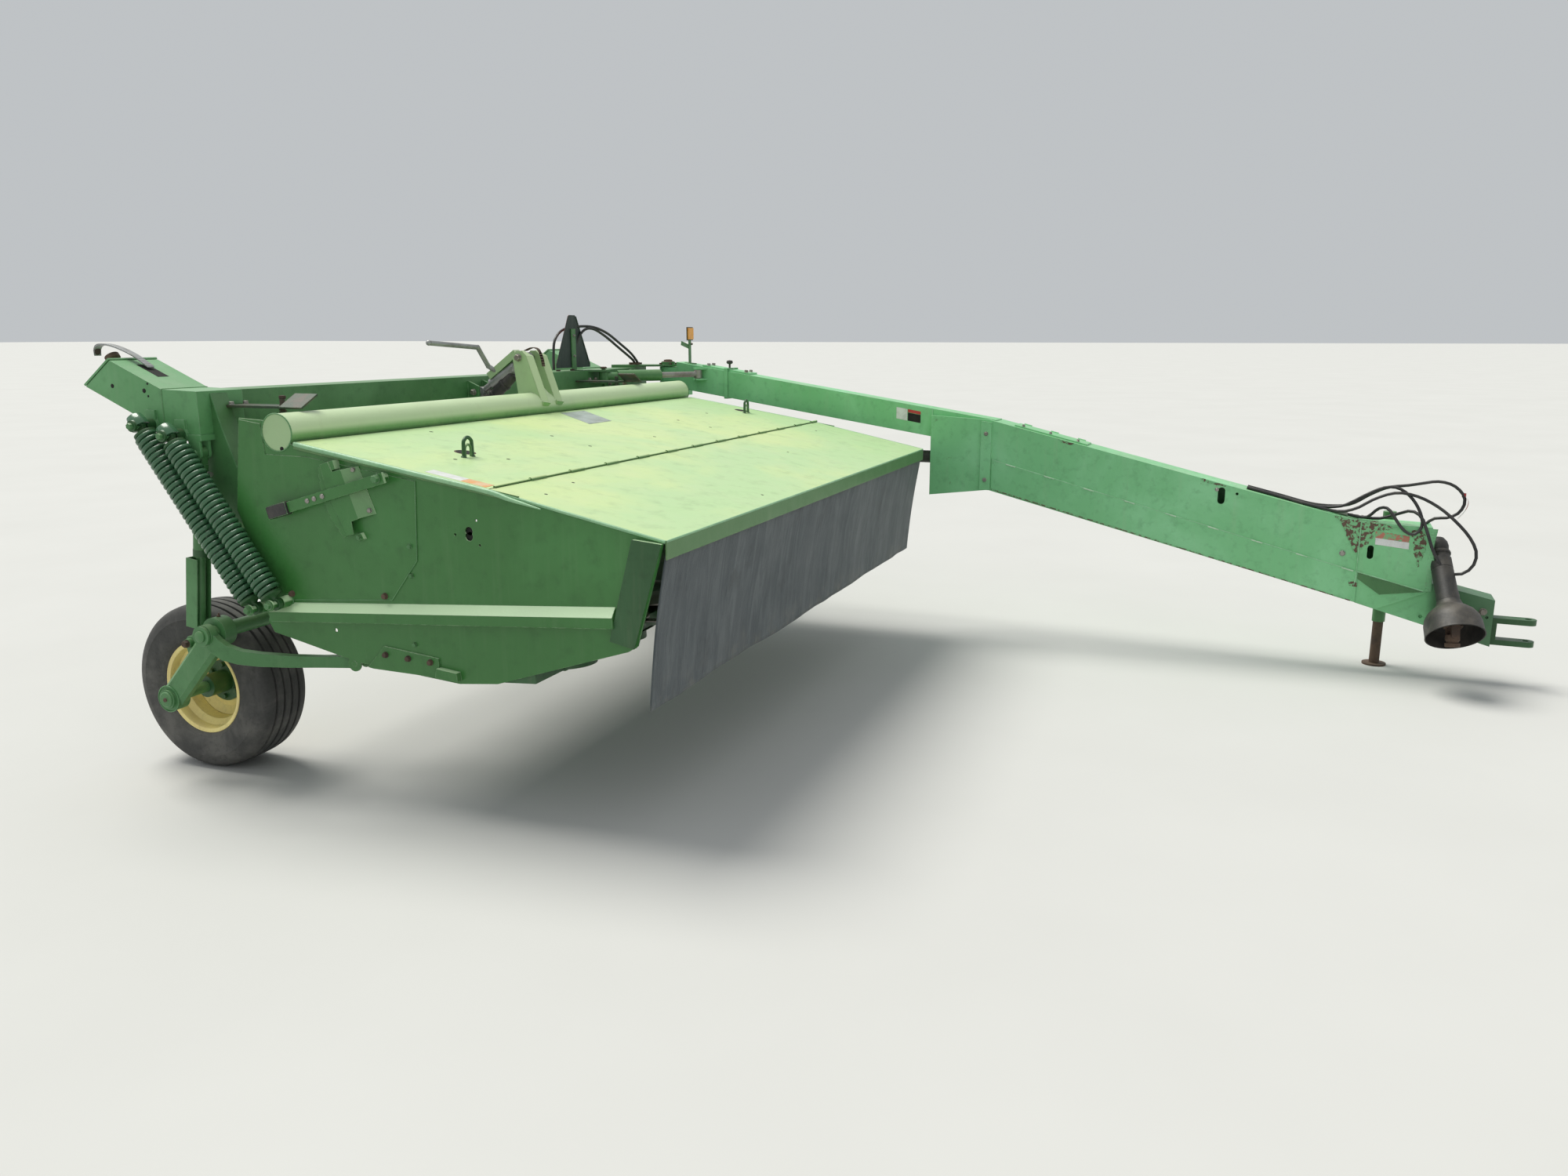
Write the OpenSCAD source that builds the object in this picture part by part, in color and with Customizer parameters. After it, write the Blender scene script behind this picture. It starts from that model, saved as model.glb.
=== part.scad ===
// Trailed side-pull disc mower conditioner, parked on its wheels and tongue jack.
// X runs to the machine's left, -Y is the way it travels, Z is up and the ground is Z = 0.
// Machine places are measured from the middle of the header's front edge, then moved to the origin.

/* [Header] */
// Width over the end panels
header_w = 3660; // [3200:10:4200]
// Thickness of the end panels
panel_t = 6; // [4:1:10]
// Thickness of the hood sheets
hood_t = 5; // [3:1:8]
// Height of the hood's front edge
hood_front_z = 1196; // [1150:1:1250]
// Distance from the front edge back to the hood's seam
seam_y = 727; // [650:1:800]
// Height of the hood at its seam
seam_z = 1347; // [1320:1:1380]
// Distance from the front edge back to the hood's rear edge
hood_rear_y = 1632; // [1600:1:1640]
// Height of the hood's rear edge
hood_rear_z = 1493; // [1480:1:1510]
// Diameter of the round header tube
header_tube_d = 150; // [120:1:170]
// Height of the header tube's axis
header_tube_z = 1528; // [1520:1:1540]
// Depth of the folded lip at the hood's front
lip_h = 68; // [40:1:90]
// Length of the front curtain below the lip
curtain_h = 575; // [400:5:600]
// Thickness of the curtain
curtain_t = 5; // [3:1:8]

/* [Cutting and conditioning] */
// Number of cutting discs
disc_count = 8; // [6:1:9]
// Distance between neighbouring disc axes
disc_pitch = 432; // [420:1:445]
// Radius swept by the knife tips
knife_r = 252; // [240:1:255]
// Distance from the front edge back to the disc axes
disc_y = 640; // [600:1:700]
// Thickness of the cutterbar case
bar_h = 62; // [50:1:70]
// Radius swept by the conditioner's tines
tine_r = 285; // [240:1:300]
// Diameter of the conditioner rotor's tube
rotor_d = 170; // [140:1:200]
// Tines along each row of the rotor
tine_count = 14; // [8:1:20]

/* [Frame] */
// Side of the square main beam
beam_s = 180; // [150:5:200]
// Height of the main beam's top
beam_top_z = 1682; // [1660:1:1700]
// Wall thickness of the brackets
bracket_t = 12; // [8:1:16]
// Diameter of the float springs
spring_d = 98; // [90:1:110]
// Diameter of the float springs' wire
spring_wire = 18; // [12:1:20]
// Coils in each float spring
spring_coils = 33; // [20:1:36]

/* [Wheels] */
// Loaded tyre radius
tyre_r = 375; // [350:1:390]
// Tyre width
tyre_w = 278; // [240:1:290]
// Rim flange diameter
rim_d = 417; // [400:1:430]
// Distance from the end panel in to the tyre's middle
wheel_inset = 213; // [205:1:260]
// Diameter of the wheel spindle
spindle_d = 50; // [40:1:60]

/* [Tongue] */
// Angle of the parked tongue, minus is toward the header
tongue_rest = -3.5; // [-5:0.1:0]
// Length from the swing pin to the hitch pin
tongue_l = 5395; // [5000:5:5600]
// Width of the slim tongue tube
tongue_w = 150; // [120:5:180]
// Height of the slim tongue tube
tongue_h = 178; // [150:1:200]
// Width of the deep front section
deep_w = 210; // [180:5:240]
// Sheet thickness of the deep section
deep_t = 8; // [6:1:12]
// Diameter of the swing pin
swing_pin_d = 60; // [50:1:70]
// Diameter of the hitch pin hole
hitch_bore_d = 32; // [28:1:40]
// Gap between the clevis tines
clevis_gap = 92; // [80:1:100]
// Radial clearance of a running pin
pin_gap = 0.5; // [0.3:0.1:1]

/* [Hidden] */
$fn = 48;

// Colours
green = "#2f7d3a";
faded_green = "#9fb953";
dark_green = "#1f4f2a";
yellow = "#d8a72c";
black = "#1c1c1c";
grey = "#6b6f70";
steel = "#9a9c9c";
rust = "#6b4632";

// Header side outline
half_w = header_w / 2;
lip_z = hood_front_z - lip_h;
header_tube_y = 1716;
panel_rear_y = 1906;
panel_top_z = 1581;
belly_y = 1959;
belly_z = 1207;
heel_y = 1813;
heel_z = 831;
keel_y = 1399;
keel_z = 612;
tip_y = 913;
tip_z = 573;
toe_y = 738;
toe_z = 591;
chin_y = 166;
chin_z = 774;
hood_slope = atan2(seam_z - hood_front_z, seam_y);
rear_slope = atan2(hood_rear_z - seam_z, hood_rear_y - seam_y);
header_pitch = 3.9;

// Frame places
beam_y = 2116;
beam_mid_y = beam_y + beam_s / 2;
beam_low_z = beam_top_z - beam_s;
arm_w = 240;
arm_tip_y = 2728;
arm_tip_z = 1693;
arm_top_y = 2576;
arm_top_z = 1803;
arm_bend_y = 2285;
spring_top_y = 2366;
spring_top_z = 1543;
spring_low_y = 1840;
spring_low_z = 815;
spring_gap = 7;
spring_drop = 42;
spring_pin_d = 26;
spring_end = 40;
spring_x = half_w + 20 + spring_d / 2;
spring_lean = atan2(spring_top_y - spring_low_y, spring_top_z - spring_low_z);
spring_len = norm([spring_top_y - spring_low_y, spring_top_z - spring_low_z]);
spring_step = spring_d + spring_gap;
spring_short = 121;
// How far the left springs end lower, to clear the beam: the rear one and the one beside it
spring_fall = [75, 50];

// Low and top pin places of a spring: 0 is the rear one, 1 the one beside it
function along_spring(i, t) = [spring_low_y - i * spring_step * cos(spring_lean) + (t - i * spring_drop) * sin(spring_lean),
    spring_low_z + i * spring_step * sin(spring_lean) + (t - i * spring_drop) * cos(spring_lean)];

// Length of a spring between its pins
function spring_run(i, left) = (i == 0 ? spring_len : spring_len + spring_drop - spring_short) - (left ? spring_fall[i] : 0);
leg_x = half_w - 285;
leg_w = 110;

// Wheel arm, its shaft and its lift cylinder
shaft_y = 2065;
shaft_z = 695;
shaft_d = 64;
axle_y = 2360;
wheel_x = half_w - wheel_inset;
arm_x = half_w + 22;
arm_box_w = 62;
link_w = 34;
link_x = arm_x + arm_box_w + 22;
lug_y = 2258;
lug_z = 622;
lug_t = 12;
lock_w = 74;
lock_t = 5;
lift_x = arm_x - lock_w / 2 - 8;
lift_eye_w = 30;
lift_gap = 2;
lift_top_y = 2150;
lift_top_z = 1430;
lift_barrel_d = 60;
lift_rod_d = 38;
lift_pin_d = 26;
lift_bare = 372;
// Room for the rod's eye to drift from its pin: backwards, and along the rod
lift_drift = [15, 2.4];
lift_len = norm([lug_y - lift_top_y, lug_z - lift_top_z]);
lift_lean = atan2(lug_y - lift_top_y, lift_top_z - lug_z);

// Tongue places along the tongue from the swing pin
pivot_x = half_w + 320;
pivot_y = 1950;
tube_rear_z = 1738;
tube_slope = 8.4;
deep_s = 2370;
plate_s = 1985;
deep_top_rear = 1385;
deep_low_rear = 945;
deep_end_s = tongue_l - 870;
deep_top_front = 876;
deep_low_front = 415;
nose_s = tongue_l - 180;
nose_top = 485;
nose_low = 225;
cover_s = tongue_l - 520;
jack_s = tongue_l - 725;
jack_x = 158;
swing_r = 300;

// Where the middle of the whole machine lies, which becomes the origin
origin_x = (pivot_x + 75 - link_x - link_w - 14) / 2;
origin_y = -370;

module machine() translate([-origin_x, -origin_y, 0]) children();

// Extrudes an outline drawn in Y and Z from x0 over a width
module side_plate(x0, width) translate([x0, 0, 0]) rotate([90, 0, 90]) linear_extrude(width) children();

// A round bar along X
module cross_bar(x0, length, y, z, d) translate([x0, y, z]) rotate([0, 90, 0]) cylinder(h = length, d = d);

// Repeats a right-hand piece on the right, or mirrored on the left
module on_side(left) mirror([left ? 1 : 0, 0, 0]) children();

// A strip between two points of a side outline
module strip(a, b, width) {
    run = b - a;
    length = norm(run);
    lean = atan2(run[1], run[0]);
    translate(a) rotate(lean) translate([0, -width / 2]) square([length, width]);
}

// Main frame
// Main beam with its legs and wheel shafts, the top link's lugs and the tongue's swing fork
module main_frame() color(green) machine() {
    low = beam_low_z - 20;
    translate([arm_w - half_w, beam_y, beam_low_z]) cube([half_w - arm_w + pivot_x - 20, beam_s, beam_s]);
    for (x = [tilt_x - tilt_half - bracket_t, tilt_x + tilt_half])
        side_plate(x, bracket_t) difference() {
            polygon([[beam_y + 1, beam_low_z + 10], [beam_y + 1, beam_top_z - 20], [beam_y - 70, 1632], [beam_y - 70, 1568]]);
            translate([tilt_low_y, tilt_low_z]) circle(d = tilt_pin_d + 2);
        }
    for (z = [swing_z - swing_eye_w / 2 - 2 - bracket_t, swing_z + swing_eye_w / 2 + 2])
        translate([0, 0, z]) linear_extrude(bracket_t) polygon([[swing_anchor_x - 90, beam_y + 1],
            [swing_anchor_x + 90, beam_y + 1], [swing_anchor_x + 35, swing_anchor_y - 35],
            [swing_anchor_x - 35, swing_anchor_y - 35]]);
    translate([swing_anchor_x, swing_anchor_y, swing_z - 50]) cylinder(h = 100, d = swing_pin_small);
    for (z = [low - bracket_t, beam_top_z + 8]) translate([pivot_x, 0, z]) linear_extrude(bracket_t) {
        polygon([[-200, beam_y], [-200, beam_y + beam_s], [0, beam_y + beam_s - 30], [75, pivot_y], [-75, pivot_y - 10]]);
        translate([0, pivot_y]) circle(d = 150);
    }
    translate([pivot_x - 200, beam_y, beam_top_z - 1]) cube([180, beam_s, 10]);
    translate([pivot_x - 200, beam_y, low - 1]) cube([180, beam_s, 22]);
    translate([pivot_x, pivot_y, low - 30]) cylinder(h = beam_s + 78, d = swing_pin_d);
    for (z = [low - 30, beam_top_z + 20]) translate([pivot_x, pivot_y, z]) cylinder(h = 18, d = swing_pin_d + 40);
    for (left = [false, true]) on_side(left) leg();
    on_side(true) lift_lugs();
    on_side(true) spring_hanger(1, true);
}

// Leg from the beam down to the shaft of the wheel arm
module leg() {
    side_plate(-leg_x, leg_w) union() {
        polygon([[beam_y + beam_s - 20, beam_low_z + 1], [beam_y - 20, beam_low_z + 1], [shaft_y - 70, 1250],
            [shaft_y - 56, shaft_z], [shaft_y + 44, shaft_z], [shaft_y + 50, 1130]]);
        translate([shaft_y, shaft_z]) circle(d = 104);
    }
    cross_bar(-link_x - link_w - 8, link_x + link_w + 8 - leg_x, shaft_y, shaft_z, shaft_d);
    cross_bar(-link_x - link_w - 14, 12, shaft_y, shaft_z, shaft_d + 20);
}

tilt_x = 80;
tilt_half = 62;
tilt_pin_d = 24;
tilt_low_y = beam_y - 40;
tilt_low_z = 1600;
tilt_top_y = 1780;
tilt_top_z = 1788;
swing_z = 1642;
swing_anchor_x = pivot_x - 750;
swing_anchor_y = 2050;
swing_pin_small = 26;
swing_eye_w = 56;

// Rear arm that the float springs and the lift cylinder hang from
module spring_arm(left) color(green) machine() on_side(left) {
    front = left ? beam_y + beam_s : beam_y;
    side_plate(-half_w, arm_w) polygon([[front, beam_low_z], [front, beam_top_z], [arm_bend_y + 20, beam_top_z + 6],
        [arm_top_y, arm_top_z], [arm_tip_y, arm_tip_z], [arm_bend_y + 20, beam_low_z + 10]]);
    spring_hanger(0, left);
    if (!left) spring_hanger(1, left);
    if (!left) lift_lugs();
}

// Lug and pin that hold the top of one float spring beside the arm
module spring_hanger(i, left) {
    p = along_spring(i, spring_run(i, left));
    slim = left && i == 1;
    side_plate(-half_w - (slim ? 13 : 10), slim ? 14 : 50) union() {
        translate(p) circle(r = 30);
        translate([p[0] - 22, p[1]]) square([52, 60]);
    }
    cross_bar(-spring_x - 40, spring_x + 45 - half_w, p[0], p[1], spring_pin_d);
    cross_bar(-spring_x - 40, 8, p[0], p[1], spring_pin_d + 18);
}

// Plate and lugs for the lift cylinder's top pin
module lift_lugs() {
    translate([-lift_x - lift_eye_w / 2 - lift_gap - lug_t, beam_y - 6, beam_low_z - 20]) cube([lift_x + lift_eye_w / 2 + lift_gap + lug_t - half_w + arm_w - 2, 110, 24]);
    for (s = [-1, 1])
        side_plate(-lift_x + s * (lift_eye_w / 2 + lift_gap) - (s < 0 ? lug_t : 0), lug_t) union() {
            translate([lift_top_y, lift_top_z]) circle(r = 30);
            translate([lift_top_y - 30, lift_top_z]) square([60, beam_low_z - 18 - lift_top_z]);
        }
    cross_bar(-lift_x - 36, 72, lift_top_y, lift_top_z, lift_pin_d);
}

// Points of a coiled wire: turns, coil radius, pitch, wire diameter, steps a turn and sides
function coil_points(turns, r, pitch, wire, steps, sides) = [for (i = [0:turns * steps], j = [0:sides - 1])
    let (a = 360 * i / steps, b = 360 * j / sides, rr = r + wire / 2 * cos(b))
        [rr * cos(a), rr * sin(a), pitch * i / steps + wire / 2 * sin(b)]];
function coil_faces(rings, sides) = concat([[for (j = [sides - 1:-1:0]) j]],
    [[for (j = [0:sides - 1]) rings * sides + j]],
    [for (i = [0:rings - 1], j = [0:sides - 1])
        let (k = (j + 1) % sides) [i * sides + k, (i + 1) * sides + k, (i + 1) * sides + j, i * sides + j]]);

module coil(turns, r, pitch, wire, steps = 7, sides = 4)
    polyhedron(coil_points(turns, r, pitch, wire, steps, sides), coil_faces(turns * steps, sides));

// A pair of long float springs between the arm's pin and the header's pin
module float_springs(left) color(dark_green) machine() on_side(left) {
    for (i = [0, 1]) {
        length = spring_run(i, left);
        coiled = length - 2 * spring_end - spring_wire;
        turns = round(spring_coils * coiled / (spring_len - 2 * spring_end - spring_wire));
        low = along_spring(i, 0);
        translate([-spring_x, low[0], low[1]]) rotate([-spring_lean, 0, 0]) {
            translate([0, 0, spring_end + spring_wire / 2]) coil(turns, (spring_d - spring_wire) / 2,
                coiled / turns, spring_wire);
            for (end = [0, 1]) translate([0, 0, end * length]) rotate([end * 180, 0, 0]) spring_plug();
        }
    }
}

module spring_plug() {
    translate([0, 0, spring_end - 10]) cylinder(h = 74, d = spring_d - spring_wire - 5);
    difference() {
        union() {
            rotate([0, 90, 0]) translate([0, 0, -9]) cylinder(h = 18, d = spring_pin_d + 26);
            translate([-9, -18, 0]) cube([18, 36, spring_end]);
        }
        rotate([0, 90, 0]) translate([0, 0, -12]) cylinder(h = 24, d = spring_pin_d + 0.4);
    }
}

// Curved link that guides the header below the frame
link_front_y = 1420;
link_pin_z = 604;
link_pin_d = 24;
link_yaw = 14.2;
// Places along the link: distance back, height, depth
link_way = [[shaft_y - 26, shaft_z - 26, 64], [2024, 652, 66], [1985, 624, 66], [1925, 607, 60], [1840, 599, 56],
    [1700, 596, 50], [1560, 599, 46], [link_front_y, link_pin_z, 50]];

module lower_link(left) color(green) machine() on_side(left) {
    difference() {
        union() {
            cross_bar(-link_x - link_w, link_w, shaft_y, shaft_z, 88);
            translate([-link_x - link_w / 2, shaft_y, 0]) rotate([0, 0, link_yaw]) translate([-link_w / 2, -shaft_y, 0])
                side_plate(0, link_w) for (i = [1:len(link_way) - 1]) hull() for (p = [link_way[i - 1], link_way[i]])
                    translate([p[0], p[1]]) circle(d = p[2]);
        }
        cross_bar(-half_w - 80, 160, link_front_y, link_pin_z, link_pin_d + 2);
        cross_bar(-link_x - link_w - 60, link_w + 120, shaft_y, shaft_z, shaft_d);
    }
}

// Top link with its pins, screw body and bent crank handle
module tilt_link() color(grey) machine() {
    for (p = [[tilt_top_y, tilt_top_z], [tilt_low_y, tilt_low_z]])
        cross_bar(tilt_x - tilt_half - bracket_t - 6, 2 * (tilt_half + bracket_t + 6), p[0], p[1], tilt_pin_d);
    lean = atan2(tilt_top_z - tilt_low_z, tilt_low_y - tilt_top_y);
    length = norm([tilt_low_y - tilt_top_y, tilt_low_z - tilt_top_z]);
    translate([tilt_x, tilt_top_y, tilt_top_z]) rotate([-lean, 0, 0]) rotate([-90, 0, 0]) {
        translate([0, 0, 20]) cylinder(h = length - 40, d = 34);
        translate([0, 0, 80]) cylinder(h = length - 160, d = 58);
    }
    for (p = [[tilt_top_y, tilt_top_z], [tilt_low_y, tilt_low_z]])
        cross_bar(tilt_x - 26, 52, p[0], p[1], 54);
    rod_between([tilt_x, 1940, 1690], [40, 2000, 1740], 26);
    rod_between([40, 2000, 1740], [-50, 2000, 1842], 26);
    rod_between([-50, 2000, 1842], [-465, 2000, 1868], 26);
    for (p = [[40, 2000, 1740], [-50, 2000, 1842], [-465, 2000, 1868]]) translate(p) sphere(d = 28);
}

// A round bar between two points
module rod_between(a, b, d) {
    run = b - a;
    length = norm(run);
    translate(a) rotate([0, acos(run[2] / length), atan2(run[1], run[0])]) cylinder(h = length, d = d);
}

// Warning triangle on its post, seen from the back in the photo
module slow_vehicle_sign() color("#c8501e") machine() translate([1280, beam_mid_y, beam_top_z]) {
    rotate([90, 0, 0]) linear_extrude(4) polygon([[-205, 16], [205, 16], [36, 350], [-36, 350]]);
    translate([-25, -12, 0]) cube([50, 8, 260]);
}

// Plates that hold the raised header to the beam
module transport_latches() color(green) machine() for (left = [false, true]) on_side(left)
    translate([(left ? 570 : 130) - half_w, beam_y - 306, beam_top_z - 70]) {
        cube([110, 306, 10]);
        translate([55, 40, -22]) cylinder(h = 60, d = 22);
        rotate([0, -28, 0]) translate([0, -110, 0]) cube([110, 116, 8]);
    }

// Round tube across the header with the tilt bracket
module header_tube() color(faded_green) machine() {
    cross_bar(-half_w, header_w, header_tube_y, header_tube_z, header_tube_d);
    for (x = [tilt_x - tilt_half - bracket_t, tilt_x + tilt_half])
        side_plate(x, bracket_t) difference() {
            polygon([[header_tube_y - 66, header_tube_z + 25], [header_tube_y + 70, header_tube_z + 10],
                [tilt_top_y + 42, tilt_top_z + 10], [tilt_top_y + 12, tilt_top_z + 36],
                [tilt_top_y - 16, tilt_top_z + 36], [tilt_top_y - 44, tilt_top_z + 12]]);
            translate([tilt_top_y, tilt_top_z]) circle(d = tilt_pin_d);
        }
}

panel_gap = 2;

module panel_outline() polygon([[panel_rear_y, panel_top_z], [header_tube_y, panel_top_z - 10],
    [hood_rear_y + 20, hood_rear_z - hood_t - 6], [seam_y, seam_z - hood_t - panel_gap],
    [12, hood_front_z - hood_t - panel_gap], [chin_y - 40, chin_z + 25], [chin_y, chin_z], [toe_y, toe_z],
    [tip_y, tip_z], [keel_y, keel_z], [heel_y + 8, heel_z - 130], [heel_y + 35, heel_z - 83], [heel_y, heel_z],
    [belly_y, belly_z]]);

cover_t = 3;
post_out = 24;
// Holes in the end panel: distance back, height, diameter
panel_holes = [[832, 1182, 34], [832, 1162, 34], [797, 1225, 10], [895, 1166, 10], [786, 1131, 10], [1500, 737, 16]];

// End panel with its cover, rail, front post, rotor bearing, spring bracket and link lug
module end_panel(left) color(green) machine() on_side(left) {
    inner = half_w - arm_w;
    difference() {
        union() {
            side_plate(-half_w, panel_t) union() {
                panel_outline();
                polygon([[heel_y - 10, heel_z], [spring_low_y + 10, spring_low_z + 28],
                    [spring_low_y + 14, spring_low_z - 26], [heel_y, heel_z - 120]]);
                translate([spring_low_y, spring_low_z]) circle(r = 30);
                translate([link_front_y, link_pin_z]) circle(r = 32);
            }
            cross_bar(-half_w, 40, rotor_y, rotor_z, 150);
            side_plate(-half_w - cover_t, cover_t + 1) polygon([[1062, 1362], [1077, 1052], [1208, 886], [heel_y - 6, 840],
                [heel_y - 2, heel_z + 14], [belly_y - 2, belly_z], [panel_rear_y - 2, panel_top_z - 6],
                [header_tube_y + 80, panel_top_z - 20], [header_tube_y + 68, 1440], [hood_rear_y - 60, 1436]]);
        }
        for (h = panel_holes) cross_bar(-half_w - 10, 30, h[0], h[1], h[2]);
        cross_bar(-half_w - 1, panel_t + 2, header_tube_y, header_tube_z, header_tube_d);
        cross_bar(-half_w + panel_t, 60, rotor_y, rotor_z, rotor_stub_d + 2 * pin_gap);
    }
    for (i = [0, 1]) {
        p = along_spring(i, 0);
        cross_bar(-spring_x - 40, spring_x + 40 - half_w + 1, p[0], p[1], spring_pin_d);
        cross_bar(-spring_x - 40, 8, p[0], p[1], spring_pin_d + 18);
        cross_bar(-spring_x + 18, spring_x - 18 - half_w + 1, p[0], p[1], spring_pin_d + 22);
    }
    rail(-half_w);
    side_plate(-half_w - post_out, post_out + 1) polygon([[127, 1196], [12, 1186], [130, chin_z + 20], [228, 815]]);
    side_plate(-half_w - 8, 9) polygon([[1346, 600], [1322, 596], [905, 588], [908, 622], [1000, 632], [1002, 668],
        [1262, 694]]);
    side_plate(-half_w - 26, 27) polygon([[1010, 594], [905, 588], [908, 622], [1002, 632]]);
    translate([panel_t - half_w - 1, link_front_y - 46, link_pin_z + 34]) cube([70, 92, 10]);
    side_plate(-half_w + 62, 12) union() {
        translate([link_front_y - 30, link_pin_z]) square([60, 40]);
        translate([link_front_y, link_pin_z]) circle(r = 30);
    }
    cross_bar(-half_w - 2, 78, link_front_y, link_pin_z, link_pin_d);
    if (!left) hood_lever();
}

// Places on the quadrant behind the lever: its face, its folded side and its notched rack
quadrant_out = 34;
quadrant_face = [[1486, 1412], [1446, 1425], [1428, 1387], [1390, 1398], [1320, 1206], [1353, 1195], [1346, 1145],
    [1379, 1137], [1444, 1266], [1465, 1326]];
quadrant_fold = [[1388, 1396], [1319, 1208]];
quadrant_foot = [[1326, 1410], [1256, 1226]];
rack = [[1480, 1408], [1500, 1398], [1494, 1330], [1474, 1245], [1450, 1195], [1398, 1128], [1372, 1138],
    [1438, 1268], [1458, 1328]];
notches = [[1500, 1378], [1496, 1350], [1482, 1262], [1474, 1238], [1462, 1214], [1446, 1184], [1424, 1158]];

// Lever and notched quadrant that set the conditioner hood
module hood_lever() {
    side_plate(-half_w - 50, 12) strip([1740, 1211], [1172, 1376], 43);
    side_plate(-half_w - 60, 30) strip([1744, 1210], [1648, 1237], 50);
    cross_bar(-half_w - 50, 51, 1202, 1371, 36);
    side_plate(-half_w - quadrant_out, 5) polygon(quadrant_face);
    hull() {
        side_plate(-half_w - quadrant_out, 5) strip(quadrant_fold[0], quadrant_fold[1], 4);
        side_plate(-half_w - cover_t - 3, 4) strip(quadrant_foot[0], quadrant_foot[1], 4);
    }
    side_plate(-half_w - quadrant_out + 4, 5) difference() {
        polygon(rack);
        for (n = notches) translate(n) rotate(30) square(11, center = true);
    }
    side_plate(-half_w - 20, 21) polygon([[1354, 1140], [1322, 1150], [1309, 1126], [1341, 1114]]);
    side_plate(-half_w - quadrant_out + 1, quadrant_out) polygon([[1442, 1426], [1430, 1392], [1412, 1397],
        [1422, 1432]]);
}

rail_rear = [1806, 829];
rail_front = [209, 939];
rail_h = 82;
rail_out = 34;

// Pressed rail along the outside of the end panel
module rail(x0) {
    run = rail_front - rail_rear;
    translate([x0, rail_rear[0], rail_rear[1] - rail_h]) rotate([atan2(run[1], run[0]) - 180, 0, 0])
        rotate([90, 0, 0]) linear_extrude(norm(run))
            polygon([[1, rail_h], [0, rail_h], [-rail_out, rail_h - 34], [-rail_out, 8], [0, 0], [1, 0]]);
}

hinge_y = seam_y + 3;
hinge_z = seam_z + 5;
hinge_pin_d = 8;
hinge_x = [-1500, -900, -300, 300, 900, 1500];
knuckle_w = 110;

// Knuckles of the seam's hinge; the lid's sit at the listed places, the rear sheet's midway between
module hinge_knuckles(shift, width, d) for (x = hinge_x) if (x + shift < half_w)
    cross_bar(x + shift - width / 2, width, hinge_y, hinge_z, d);

// Rear hood sheet with its hinge pin, side flanges and lifting loops
module hood_rear() color(faded_green) machine() {
    difference() {
        side_plate(-half_w - 8, header_w + 16) polygon([[hood_rear_y, hood_rear_z], [seam_y + 6, seam_z + 1],
            [seam_y + 6, seam_z + 1 - hood_t], [hood_rear_y, hood_rear_z - hood_t]]);
        hinge_knuckles(0, knuckle_w + 3, 18);
    }
    hinge_knuckles(300, knuckle_w, 16);
    cross_bar(-half_w + 30, header_w - 60, hinge_y, hinge_z, hinge_pin_d);
    for (s = [-1, 1])
        side_plate(s * (half_w + 6.5) - 1.5, 3) polygon([[hood_rear_y, hood_rear_z], [seam_y - 130, seam_z - 20],
            [seam_y - 110, seam_z - 42], [hood_rear_y, hood_rear_z - 26]]);
    for (x = [-1394, 1618]) translate([x, 1130, seam_z + (1130 - seam_y) * tan(rear_slope) - 3]) {
        for (s = [-1, 1]) translate([s * 20, 0, 0]) cylinder(h = 34, d = 11);
        translate([0, 0, 34]) rotate([90, 0, 0]) rotate_extrude(angle = 180, $fn = 24) translate([20, 0]) circle(d = 11);
    }
}

// Front hood sheet with its lip, which lifts about the seam's hinge
module hood_front() color(faded_green) machine() difference() {
    union() {
        side_plate(-half_w - 4, header_w + 8) polygon([[seam_y, seam_z], [0, hood_front_z], [0, lip_z],
            [hood_t, lip_z], [hood_t, hood_front_z - hood_t], [seam_y, seam_z - hood_t]]);
        hinge_knuckles(0, knuckle_w, 16);
    }
    hinge_knuckles(300, knuckle_w + 3, 18);
    cross_bar(-half_w + 20, header_w - 40, hinge_y, hinge_z, hinge_pin_d + 0.6);
}

module curtain_front() color(grey) machine()
    side_plate(-half_w + 8, header_w - 16) polygon([[hood_t, lip_z + 40], [hood_t + curtain_t, lip_z + 40],
        [85 + curtain_t, lip_z - curtain_h], [85, lip_z - curtain_h]]);

module in_bar() translate([0, disc_y, toe_z + 12]) rotate([-header_pitch, 0, 0]) children();

function disc_x(i) = (i - (disc_count - 1) / 2) * disc_pitch;

// Flat gear case that carries the discs on short spindles
module cutterbar() color(dark_green) machine() in_bar() {
    translate([panel_t - half_w, -70, 0]) cube([header_w - 2 * panel_t, 240, bar_h]);
    for (i = [0:disc_count - 1]) translate([disc_x(i), 0, 0]) {
        translate([0, -40, 0]) cylinder(h = bar_h, d = 210);
        cylinder(h = bar_h + 22, d = 50);
        rotate([90, 0, 90]) translate([0, 0, -90]) linear_extrude(180)
            polygon([[-152, 36], [-138, 38], [-60, 1], [168, 1], [176, -9], [-64, -9]]);
    }
}

module disc(i) color(grey) machine() in_bar() translate([disc_x(i), 0, bar_h + 5]) {
    end = i == 0 || i == disc_count - 1;
    difference() {
        union() {
            cylinder(h = 26, d = 110);
            translate([0, 0, 18]) cylinder(h = 8, r = 160);
            if (end) translate([0, 0, 26]) cylinder(h = 150, d1 = 250, d2 = 190);
        }
        translate([0, 0, -1]) cylinder(h = 19, d = 50 + 2 * pin_gap);
    }
    rotate(i % 2 == 0 ? 0 : 90) for (a = [0, 180]) rotate(a) {
        translate([118, -24, 12]) cube([knife_r - 118, 48, 6]);
        translate([135, 0, 6]) cylinder(h = 28, d = 22);
    }
}

module crop_pan() color(dark_green) machine() side_plate(panel_t - half_w, header_w - 2 * panel_t)
    polygon([[disc_y + 176, 652], [1180, 668], [1385, 690], [1385, 684], [1180, 662], [disc_y + 176, 646]]);

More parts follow.
